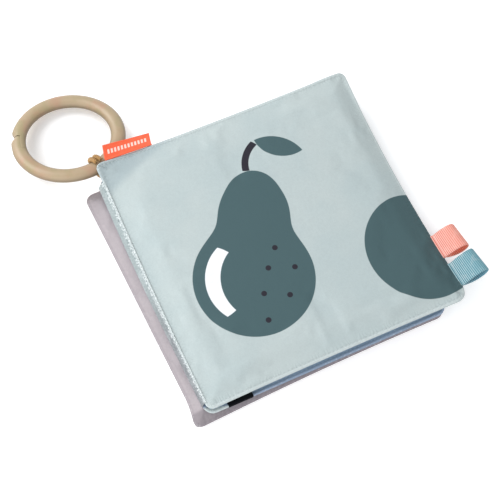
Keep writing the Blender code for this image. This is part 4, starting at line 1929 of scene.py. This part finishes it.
@dataclass
class WovenLabel:
    """A small folded label in the far seam that lies over the ring.

    Args:
        finish: Its weave.
        width: Its width along the seam.
        depth: How far it stands out.
        seam_gap: How far from the seam it shows.
        name: The piece's name.
        node: The CAD node that it stands for.
        body: The body that its free edge moves with; not used.
        slot: The record's material slot; not used.
        from_corner: Its left end's distance from the cover's left corner.
        thickness: How thick it is, folded.
        bend_length: How far from where it shows the bend at the seam ends.
        skew: How far its outer edge is set off along the seam.
        left_rise: How far its outer left corner rises.
        right_drop: How far its outer right corner drops.
        ripple: How high it ripples along its outer edge.
        columns: Points along the seam.
        rows: Points from the seam outwards.
    """

    finish: Finish
    width: float
    depth: float
    seam_gap: float
    name: str = "label"
    node: str = "woven_label"
    body: str = "label"
    slot: str = "label_weave"
    from_corner: float = 6 * MM
    thickness: float = 0.6 * MM
    bend_length: float = 1.0 * MM
    skew: float = 1.6 * MM
    left_rise: float = 2.2 * MM
    right_drop: float = 1.5 * MM
    ripple: float = 0.12 * MM
    columns: int = 70
    rows: int = 36

    def build(self, cover: PaddedPanel) -> Piece:
        """Build the label at the cover's seam.

        Args:
            cover: The panel that it's sewn in.

        Returns:
            The label.
        """
        ends = cover.far_edge(np.array([self.from_corner, self.from_corner + self.width]))
        shares = np.linspace(0, 1, self.columns)
        reaches = np.linspace(-self.seam_gap / self.depth, 1, self.rows)
        share, reach = np.meshgrid(shares, reaches, indexing="ij")
        root = ends[0] * (1 - share[..., None]) + ends[1] * share[..., None]
        root[..., 1] += self.seam_gap
        rise = self.left_rise * (1 - share) - self.right_drop * share
        ease = np.maximum(reach, 0)
        wave = self.ripple * np.sin(share * 7.0 + 0.6) * ease
        step = np.stack([self.skew * ease, self.depth * reach, rise * ease + wave], axis=-1)
        middle = root + step + np.array([0, 0, self.thickness / 2])
        fold = np.sqrt(1 - np.clip((reach - 0.955) / 0.045, 0, 0.98) ** 2)
        cut = np.sqrt(1 - np.clip((np.abs(share - 0.5) - 0.492) / 0.008, 0, 1) ** 2 * 0.6)
        crease = 1 - 0.22 * bell(reach, 0.03, 0.83)
        half = np.zeros_like(middle)
        half[..., 2] = (self.thickness / 2) * fold * cut * crease
        flat = np.stack([share * self.width, (reach - reaches[0]) * self.depth], axis=-1)
        count = share.size
        label = two_skins(
            self.name, middle + half, middle - half, [self.finish.material()], flat,
            attributes={"top": (np.ones(count), np.zeros(count))})
        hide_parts(self.node)
        seat = middle[self.columns // 2, 0]
        end = (seat[0], seat[1] + self.seam_gap + self.bend_length, seat[2])
        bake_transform(label)
        deep = self.depth + self.seam_gap
        2 * deep
        self.width * deep
        return label


@dataclass
class ClosurePatch:
    """One half of the closure: a knitted tape square with its nap.

    Args:
        name: The piece's name.
        node: The CAD node that it stands for.
        body: The body that it moves with.
        side: Which way its nap faces.
        finish: The tape's ground.
        nap: How the nap grows.
        edge: How wide its rounded edge is.
        rim_share: How thick it is at the rim, as a share of the middle.
    """

    name: str
    node: str
    body: str
    side: Side
    finish: Finish
    nap: Nap
    edge: float = 0.35 * MM
    rim_share: float = 0.35

    def build(self) -> List[Piece]:
        """Build the tape and grow its nap.

        Returns:
            The tape and the nap.
        """
        low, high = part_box(self.node)
        size_x, size_y = high[0] - low[0], high[1] - low[1]
        lines = np.array([0, 0.015, 0.04, 0.08, 0.14, 0.22, 0.3, 0.4, 0.5])
        lines = np.concatenate([lines, 1 - lines[-2::-1]])
        u, v = np.meshgrid(lines, lines, indexing="ij")
        inside = np.minimum(np.minimum(u, 1 - u) * size_x, np.minimum(v, 1 - v) * size_y)
        round_off = np.sqrt(1 - (1 - np.clip(inside / self.edge, 0, 1)) ** 2)
        middle = (low[2] + high[2]) / 2
        half = (high[2] - low[2]) / 2 * (self.rim_share + (1 - self.rim_share) * round_off)
        x, y = low[0] + u * size_x, low[1] + v * size_y
        upper = np.stack([x, y, middle + half], axis=-1)
        lower = np.stack([x, y, middle - half], axis=-1)
        tape = two_skins(self.name, upper, lower, [self.finish.material()])
        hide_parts(self.node)
        face = upper[1:-1, 1:-1] if self.side is Side.ABOVE else lower[-2:0:-1, 1:-1]
        bristles = self.nap.grow(self.name + "_nap", face, self.finish)
        for piece in (tape, bristles):
            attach(piece, self.body)
        return [tape, bristles]


@dataclass
class GripRing:
    """The split grip ring and the cord that holds it.

    Args:
        plastic: The ring's finish.
        fibre: The cord's finish.
        centre: The ring's middle.
        normal: The direction of its axis.
        pivot: Where the cord leaves the seam.
        bearing: Which way the hole is from where the ring is held, in degrees from X.
        radius: From the ring's axis to the middle of its tube.
        half_width: Half the tube's width.
        half_height: Half the tube's height.
        split_angle: Where the lap joint starts, in degrees from where the ring is held.
        split_lap: How far round the ring it laps, in degrees.
        split_inset: How far inside the tube's middle the lap's line runs.
        split_width: How wide the joint's groove is.
        split_depth: How deep it is.
        split_line: How deep the lap's line is, as a share of that.
        split_step: How far the lap's outer half is set in.
        step_ease: How far it takes to sink that much.
        shade_width: How far the dark line in the joint's groove reaches.
        line_shade: How dark the lap's line is, as a share of that.
        line_shade_width: How far the lap's dark line reaches.
        notch_half: Half the length of the notch at the joint's start.
        notch_depth: How deep the notch is.
        cord_radius: Half the cord's thickness.
        gap: How far the cord clears the ring.
        plies: How many plies the cord has.
        ply_pitch: How far a ply goes in one turn.
        ply_share: A ply's thickness as a share of the cord's.
        ply_sides: Points round a ply.
        wrap: Where the cord's way round the tube starts and ends, in degrees.
        wrap_steps: Points along that way.
        lead_steps: Points from the seam to its start.
        cord_step: From one point along the cord to the next, once they're even.
        strand_offset: How far each pass is set off along the ring.
        rings: Points round the ring.
        sides: Points round its tube.
    """

    plastic: Finish
    fibre: Finish
    centre: Tuple[float, float, float] = (-70.877 * MM, 104.715 * MM, 9.547 * MM)
    normal: Tuple[float, float, float] = (0.063708, 0.222174, 0.972923)
    pivot: Tuple[float, float, float] = (-63.036 * MM, 79.119 * MM, 20.32 * MM)
    bearing: float = 105.6
    radius: float = 27.5 * MM
    half_width: float = 4.1 * MM
    half_height: float = 3.0 * MM
    split_angle: float = -129.0
    split_lap: float = 20.0
    split_inset: float = 1.2 * MM
    split_width: float = 0.2 * MM
    split_depth: float = 1.1 * MM
    split_line: float = 0.12
    split_step: float = 0.16 * MM
    step_ease: float = 0.5 * MM
    shade_width: float = 0.28 * MM
    line_shade: float = 0.22
    line_shade_width: float = 0.24 * MM
    notch_half: float = 3.2 * MM
    notch_depth: float = 2.5 * MM
    cord_radius: float = 1.3 * MM
    gap: float = 0.3 * MM
    plies: int = 3
    ply_pitch: float = 4.2 * MM
    ply_share: float = 0.53
    ply_sides: int = 12
    wrap: Tuple[float, float] = (62, -186)
    wrap_steps: int = 90
    lead_steps: int = 14
    cord_step: float = 0.2 * MM
    strand_offset: float = 1.45 * MM
    rings: int = 180
    sides: int = 48

    def axes(self) -> Tuple[Grid, Grid, Grid]:
        """Find the ring's own directions.

        Returns:
            Towards the hole from where it's held, sideways there, and its normal.
        """
        normal = np.array(self.normal)
        normal /= np.linalg.norm(normal)
        turn = math.radians(self.bearing)
        towards = np.array([math.cos(turn), math.sin(turn), 0.0])
        inwards = towards - normal * towards.dot(normal)
        inwards /= np.linalg.norm(inwards)
        return inwards, np.cross(inwards, normal), normal

    def turns_round(self) -> Grid:
        """Place the ring's cross-sections, close together at the lap joint.

        Returns:
            Angles in radians, from where the ring is held.
        """
        first = math.radians(self.split_angle)
        last = first + math.radians(self.split_lap)
        fine = np.concatenate([np.linspace(-1.6, 1.6, 33), [-2.4, 2.4]]) * MM / self.radius
        marks = np.concatenate([first + fine, last + fine])
        return fill_turn(marks, self.rings, 0.006)

    def build_ring(self) -> Piece:
        """Build the ring with its lap joint.

        Returns:
            The ring.
        """
        inwards, _, normal = self.axes()
        outwards = -inwards
        sideways = np.cross(normal, outwards)
        turn = self.turns_round()
        seam = math.acos(-self.split_inset / self.half_width)
        fine = np.linspace(-0.16, 0.16, 9)
        around = fill_turn(np.concatenate([seam + fine, -seam + fine]), self.sides, 0.05)
        theta, phi = np.meshgrid(turn, around, indexing="ij")
        first = math.radians(self.split_angle)
        arc = (theta - first) * self.radius
        lap = math.radians(self.split_lap) * self.radius
        depth = self.half_width * np.cos(phi) + self.split_inset
        outer = np.hypot(arc, np.maximum(0, -depth))
        along = np.hypot(np.maximum(0, np.maximum(-arc, arc - lap)), depth)
        inner = np.hypot(arc - lap, np.maximum(0, depth))
        nearest = np.minimum(np.minimum(outer, along), inner)
        groove = np.maximum(bell(outer, self.split_width),
                            self.split_line * bell(nearest, self.split_width))
        facing = np.clip((np.cos(phi) - 0.1) / 0.9, 0, 1)
        notch = np.clip(1 - np.abs(arc) / self.notch_half, 0, 1) ** 1.3 * facing
        step = self.split_step * smoothed(arc / self.step_ease) * (arc < lap) * (depth > 0)
        sunk = groove * self.split_depth + notch * self.notch_depth + step
        wide = np.cos(phi) * (self.half_width - sunk)
        high = np.sin(phi) * (self.half_height - sunk * self.half_height / self.half_width)
        ray = np.cos(theta)[..., None] * outwards + np.sin(theta)[..., None] * sideways
        points = (np.array(self.centre) + ray * (self.radius + wide)[..., None]
                  + normal * high[..., None])
        faces = grid_faces(*theta.shape, closed_columns=True, closed_rows=True)
        ring = make_object("grip_ring", points.reshape(-1, 3), faces, [self.plastic.material()])
        # Painted shade in the lap joint's groove and along the lap's line.
        joint_shade = np.maximum(bell(outer, self.shade_width),
                             self.line_shade * bell(nearest, self.line_shade_width))
        set_attribute(ring.data, "joint_shade", joint_shade)
        # How far the tube faces up or down, for the plastic's painted shade on its flanks.
        set_attribute(ring.data, "upward", np.sin(phi) * normal[2] + np.cos(phi) * ray[..., 2])
        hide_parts("split_ring")
        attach(ring, "ring")
        return ring

    def strand_path(self, along: float) -> Grid:
        """Follow one pass of the cord from the seam round the ring.

        Args:
            along: How far it's set off along the ring.

        Returns:
            Evenly spaced path points.
        """
        inwards, sideways, normal = self.axes()
        hold = np.array(self.centre) - inwards * self.radius
        leave = np.array(self.pivot) - hold
        start = np.array([leave.dot(inwards), leave.dot(normal)])
        wide = self.half_width + self.gap + self.cord_radius
        high = self.half_height + self.gap + self.cord_radius
        turn = np.radians(np.linspace(*self.wrap, self.wrap_steps))
        round_tube = np.stack([wide * np.cos(turn), high * np.sin(turn)], axis=1)
        meet = round_tube[0]
        middle = (start + meet) / 2 + np.array([0, self.cord_radius / 4])
        ease = np.linspace(0, 1, self.lead_steps)[:-1, None]
        lead = start * (1 - ease) ** 2 + (2 * middle - (start + meet) / 2) * 2 * ease * (1 - ease)
        lead = lead + meet * ease ** 2
        flat = np.concatenate([lead, round_tube])
        path = hold + flat[:, :1] * inwards + flat[:, 1:] * normal + sideways * along
        reach = path_lengths(path)
        even = np.linspace(0, reach[-1], int(reach[-1] / self.cord_step))
        return np.stack([np.interp(even, reach, path[:, axis]) for axis in range(3)], axis=1)

    def build_cord(self) -> List[Piece]:
        """Twist and build both passes of the cord.

        Returns:
            The two strands.
        """
        _, sideways, _ = self.axes()
        strands = []
        for name, place in (("left", self.strand_offset), ("right", -self.strand_offset)):
            path = self.strand_path(place)
            tangent = np.gradient(path, axis=0)
            tangent /= np.linalg.norm(tangent, axis=1, keepdims=True)
            first = np.tile(sideways, (len(path), 1))
            second = np.cross(tangent, first)
            second /= np.linalg.norm(second, axis=1, keepdims=True)
            length = np.linalg.norm(np.diff(path, axis=0), axis=1).sum()
            reach = np.linspace(0, length, len(path))
            ply_radius = self.cord_radius * self.ply_share
            offset = self.cord_radius - ply_radius
            points: List[Grid] = []
            faces: List[Tuple[int, ...]] = []
            for ply in range(self.plies):
                turn = reach / self.ply_pitch * 2 * math.pi + ply * 2 * math.pi / self.plies
                swing = np.cos(turn)[:, None] * first + np.sin(turn)[:, None] * second
                centres = path + swing * offset
                near = sum(len(done) for done in points)
                new_points, new_faces = tube(centres, first, second, ply_radius, self.ply_sides)
                points.append(new_points)
                faces += [tuple(corner + near for corner in face) for face in new_faces]
            strand = make_object(
                "cord_" + name, np.concatenate(points), faces, [self.fibre.material()])
            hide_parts("ring_cord_" + name)
            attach(strand, "cord")
            strands.append(strand)
        return strands


# The studio


@dataclass
class Studio:
    """The camera, the pale floor and the soft light.

    Args:
        place: The camera's place in metres.
        right: The picture's right.
        up: The picture's top.
        back: Away from what it looks at.
        lens: The focal length in millimetres.
        sensor: The sensor's width in millimetres.
        ambient: The strength of the light from all round.
        lamps: Each lamp's name, place, side and power in watts.
        target: Where the lamps point.
        floor_half: Half the floor's side.
        floor_height: The floor's height, just below the book.
    """

    place: Tuple[float, float, float] = (-0.13017, -0.21264, 0.58475)
    right: Tuple[float, float, float] = (0.90763, -0.41812, 0.03716)
    up: Tuple[float, float, float] = (0.37115, 0.84071, 0.39427)
    back: Tuple[float, float, float] = (-0.19609, -0.34406, 0.91823)
    lens: float = 84.6
    sensor: float = 36
    ambient: float = 0.6
    lamps: Tuple[Tuple[str, Tuple[float, float, float], float, float], ...] = (
        ("key", (-0.35, 0.6, 0.55), 0.5, 4.8), ("fill", (-0.42, -0.36, 0.46), 0.9, 3.5))
    target: Tuple[float, float, float] = (0.0, 0.01, 0.01)
    floor_half: float = 3.0
    floor_height: float = -0.3 * MM

    def camera(self) -> Piece:
        """Place the camera.

        Returns:
            The camera.
        """
        data = bpy.data.cameras.new("camera")
        data.lens = self.lens
        data.sensor_width = self.sensor
        data.clip_start = 0.01
        made = linked("camera", data)
        turn = Matrix((self.right, self.up, self.back)).transposed()
        made.matrix_world = Matrix.Translation(self.place) @ turn.to_4x4()
        bpy.context.scene.camera = made
        return made

    def lamp(self, name: str, place: Sequence[float], size: float, power: float) -> None:
        """Add a square soft light aimed at the book.

        Args:
            name: The light's name.
            place: Where it is.
            size: Its side.
            power: Its power in watts.
        """
        data = bpy.data.lights.new(name, "AREA")
        data.shape = "SQUARE"
        data.size = size
        data.energy = power
        towards = Vector(self.target) - Vector(place)
        turn = towards.to_track_quat("-Z", "Y").to_matrix().to_4x4()
        linked(name, data).matrix_world = Matrix.Translation(place) @ turn

    def floor(self) -> Piece:
        """Lay the floor just below the book.

        Returns:
            The floor.
        """
        points = np.array([(x * self.floor_half, y * self.floor_half, self.floor_height)
                           for x, y in ((-1, -1), (1, -1), (1, 1), (-1, 1))])
        finish = PaleFloor("floor_paper", ink(250, 250, 250), ink(248, 248, 249),
                           constants=FLOOR_GLOW)
        made = make_object("floor", points, [(0, 1, 2, 3)], [finish.material()])
        return made

    def world(self) -> None:
        """Light the book from all round and show white behind it."""
        world = bpy.data.worlds.new("studio")
        bpy.context.scene.world = world
        world.use_nodes = True
        world.node_tree.nodes.clear()
        maker = NodeMaker(world.node_tree)
        path = maker.node("ShaderNodeLightPath")
        seen = Field(maker, path.outputs["Is Camera Ray"])
        for kind in ("Is Glossy Ray", "Is Transmission Ray"):
            seen = seen.higher_of(Field(maker, path.outputs[kind]))
        lit, white = (
            maker.node("ShaderNodeBackground", {}, {"Color": colour, "Strength": strength})
            for colour, strength in (
                ((0.97, 0.985, 1.0, 1.0), self.ambient), ((1.0, 1.0, 1.0, 1.0), 1.0)))
        mixed = maker.node(
            "ShaderNodeMixShader", {}, {0: seen, 1: lit.outputs[0], 2: white.outputs[0]})
        maker.node("ShaderNodeOutputWorld", {}, {"Surface": mixed.outputs[0]})

    def build(self) -> None:
        """Build the whole studio."""
        self.world()
        self.floor()
        for lamp in self.lamps:
            self.lamp(*lamp)
        bpy.context.scene.view_settings.view_transform = "Standard"
        LOG.info("studio built")


# The whole book


CLOTH_SHEEN: Constants = (
    ("Sheen Weight", 0.05), ("Sheen Roughness", 0.45), ("Specular IOR Level", 0.22))


@dataclass
class ClothBook:
    """The book that drops open, with all that hangs on it.

    Args:
        studio: The camera, the floor and the light.
    """

    studio: Studio = field(default_factory=Studio)

    def cloth(self, name: str, tones: Tuple[Colour, Colour, Colour], print_colour: Colour,
              motif: Motif = Motif.PLAIN, **extras: object) -> PanelCloth:
        """Describe one panel's cloth.

        Args:
            name: The material's name.
            tones: The cloth's colour, the one that it drifts to and the seam's painted light,
                lighter for a painted highlight and darker for a painted shade.
            print_colour: The print's colour.
            motif: The print.
            **extras: Other fields of the finish.

        Returns:
            The finish.
        """
        base, tint, seam = tones
        return PanelCloth(
            name, base, tint, print_colour, motif, seam, constants=CLOTH_SHEEN, **extras)

    def panels(self) -> Tuple[PaddedPanel, PaddedPanel, PaddedPanel]:
        """Describe the cover, the page and the back panel.

        Returns:
            The three panels.
        """
        teal = ink(70, 94, 98)
        # The third tone of each set is painted along the seam: lighter, a painted highlight, for
        # pale, slate and blue; darker, a painted shade, for mauve and under.
        pale = ink(185, 196, 196), ink(179, 192, 193), ink(196, 206, 206)
        slate = ink(125, 146, 168), ink(118, 140, 162), ink(144, 161, 184)
        blue = ink(132, 148, 172), ink(124, 142, 166), ink(138, 154, 178)
        mauve = ink(178, 170, 173), ink(172, 164, 168), ink(160, 152, 157)
        # The back lining's colours are darker than the back print's, a painted shade that shows as
        # a dark line along the back's lower rim.
        under = ink(160, 150, 155), ink(152, 143, 149), ink(146, 136, 140)
        tucked = {"corner": (-66 * MM, -71 * MM), "corner_reach": (15 * MM, -5 * MM),
                  "corner_tone": pale[0], "corner_share": 0.95}
        cover = PaddedPanel(
            "cover_panel", "cover",
            ("cover_front_cloth", "cover_back_cloth", "cover_wadding"), "pale_cloth",
            width=150 * MM, height=150 * MM, centre=(11 * MM, 4.7 * MM, 15.6 * MM),
            radii=(4 * MM, 8 * MM, 4 * MM, 4 * MM),
            bows=(1.2 * MM, -3 * MM, -0.7 * MM, -1 * MM),
            # The cover print's corner tone is a painted shade on its curled far left corner.
            upper=self.cloth("cover_print", pale, teal, Motif.PEAR, corner=(-64 * MM, 79.7 * MM)),
            lower=self.cloth("cover_lining", pale, teal),
            patch="cover_hook_patch", patch_side=Side.BELOW, curled=True, soft_crown=14 * MM,
            stitched=(Side.NEAR, Side.FAR), ridge=0.09 * MM, groove=0.11 * MM,
            dents=(
                Dent(-58, -38, 20, 8, 78, -0.55),
                Dent(-52, -62, 14, 6, 40, 0.45),
                Dent(-20, -66, 26, 5, 4, -0.4),
                Dent(38, -64, 24, 6, -6, 0.4),
                Dent(66, -20, 26, 6, 92, -0.4),
                Dent(64, 42, 20, 6, 82, 0.35),
                Dent(10, 64, 34, 6, 3, -0.35),
                Dent(-46, 46, 26, 9, -42, -0.55),
                Dent(-8, 10, 46, 18, 30, 0.3),
            ),
        )
        page = PaddedPanel(
            "page_panel", "page",
            ("page_upper_cloth", "page_lower_cloth", "page_wadding", "page_crinkle_film"),
            "blue_cloth", width=138.5 * MM, height=144 * MM,
            centre=(3.75 * MM, 1 * MM, 9.3 * MM), radii=(5 * MM,) * 4, bows=(1.2 * MM, 0, 0, 0),
            upper=self.cloth("page_print", slate, ink(206, 216, 220), Motif.DOTS, **tucked),
            lower=self.cloth("page_lining", blue, teal, **tucked),
            patch="page_loop_patch", patch_side=Side.ABOVE, lean=1.6 * MM,
        )
        back = PaddedPanel(
            "back_panel", "back", ("back_upper_cloth", "back_lower_cloth", "back_wadding"),
            "mauve_cloth", width=146 * MM, height=144 * MM, centre=(0, -0.2 * MM, 3 * MM),
            radii=(5 * MM,) * 4, bows=(0, 0, -1.3 * MM, 0),
            # The back print's corner tone is a painted shade along its near edge.
            upper=self.cloth("back_print", mauve, ink(158, 148, 162), Motif.HILLS,
                             groove_tone=0.0, corner=(0.0, -73 * MM), corner_reach=(1.0, -7 * MM),
                             corner_tone=ink(132, 125, 130), corner_share=0.7),
            lower=self.cloth("back_lining", under, teal, groove_tone=0.0),
            lean=6 * MM, slant=1.4 * MM, ridge=0.0, groove=0.0, corner_flare=2.8 * MM,
            stitched=(), flange=0.4 * MM, dent_start=0.3 * MM, dent_ramp=3 * MM,
            dents=(
                Dent(-68, 8, 9, 2.0, -30, -0.8),
                Dent(-68, 12, 8, 2.2, -30, 0.5),
                Dent(-67, -40, 12, 3, -64, -0.5),
            ),
        )
        return cover, page, back

    def build(self) -> None:
        """Build the studio first, then every piece of the book."""
        self.studio.camera()
        self.studio.build()
        cover, page, back = self.panels()
        threads = {
            "cover": SpunThread("thread_pale", ink(202, 211, 211), ink(170, 182, 184), 0.12 * MM),
            "page": SpunThread("thread_blue", ink(142, 164, 184), ink(110, 132, 154), 0.12 * MM),
        }
        for panel in (cover, page, back):
            panel.build()
            if panel.stitched:
                panel.stitch(threads[panel.body])
        # The pale fold's base and deep colours are darker copies of the pale cloth, a painted
        # shade on the fold's side.
        FoldStrip(
            "cover_fold", "cover_fold_strip", "pale_cloth", cover, page, Side.LEFT,
            StripCloth("fold_pale", ink(146, 158, 159), ink(114, 118, 122), ink(188, 199, 199),
                       length=9.4 * MM, constants=CLOTH_SHEEN),
            near_bulge=0.35).build(threads["cover"])
        FoldStrip(
            "page_fold", "page_fold_strip", "blue_cloth", page, back, Side.RIGHT,
            StripCloth("fold_blue", ink(118, 140, 164), ink(112, 134, 158), ink(134, 154, 176),
                       length=9.4 * MM, constants=CLOTH_SHEEN)).build(threads["page"])
        # The coral loop's inner colour is brighter than its outer one, a painted glow, and its
        # third colour is the painted shade between the ribs.
        RibbonLoop(
            "coral_loop", "coral_ribbon_loop", "coral_loop", "coral_ribbon",
            from_front=32.6 * MM, reach=12 * MM, drift=0.6 * MM,
            finish=RibbonWeave("ribbon_coral", ink(233, 160, 144), ink(255, 150, 118),
                               ink(206, 92, 76), constants=CLOTH_SHEEN)).build(cover)
        # The blue loop's inner colour is darker than its outer one, a painted shade, and its third
        # colour is the painted shade between the ribs.
        RibbonLoop(
            "blue_loop", "blue_ribbon_loop", "blue_loop", "blue_ribbon",
            from_front=14.7 * MM, reach=13.8 * MM, drift=2 * MM,
            finish=RibbonWeave("ribbon_blue", ink(116, 166, 178), ink(92, 148, 166),
                               ink(40, 90, 108), constants=CLOTH_SHEEN)).build(cover)
        width, depth, gap = 26.4 * MM, 7 * MM, 1.2 * MM
        weave = LabelWeave("label_orange", ink(243, 96, 57), ink(250, 226, 216), width,
                           depth + gap, constants=(("Sheen Weight", 0.1),))
        WovenLabel(weave, width, depth, gap).build(cover)
        tape = ClosureTape("tape_black", ink(5, 8, 12), ink(24, 28, 34),
                           constants=(("Specular IOR Level", 0.08),))
        hooks = Nap(density=9.0e6, height=0.14 * MM, radius=0.05 * MM, seed=4)
        loops = Nap(density=1.2e7, height=0.12 * MM, radius=0.04 * MM, seed=9)
        ClosurePatch("hook_patch", "cover_hook_patch", "cover", Side.BELOW, tape, hooks).build()
        ClosurePatch("loop_patch", "page_loop_patch", "page", Side.ABOVE, tape, loops).build()
        ring = GripRing(
            MarbledPlastic(
                "ring_beige", ink(170, 150, 122), ink(174, 138, 114), ink(155, 145, 108),
                constants=(("Specular IOR Level", 0.42),)),
            SpunThread("cord_gold", ink(186, 146, 90), ink(104, 72, 40), 0.25 * MM))
        ring.build_ring()
        ring.build_cord()


def main() -> None:
    """Build the scene and log its pieces."""
    logging.basicConfig(level=logging.INFO, format="%(message)s")
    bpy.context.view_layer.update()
    ClothBook().build()


if __name__ == "__main__":
    main()
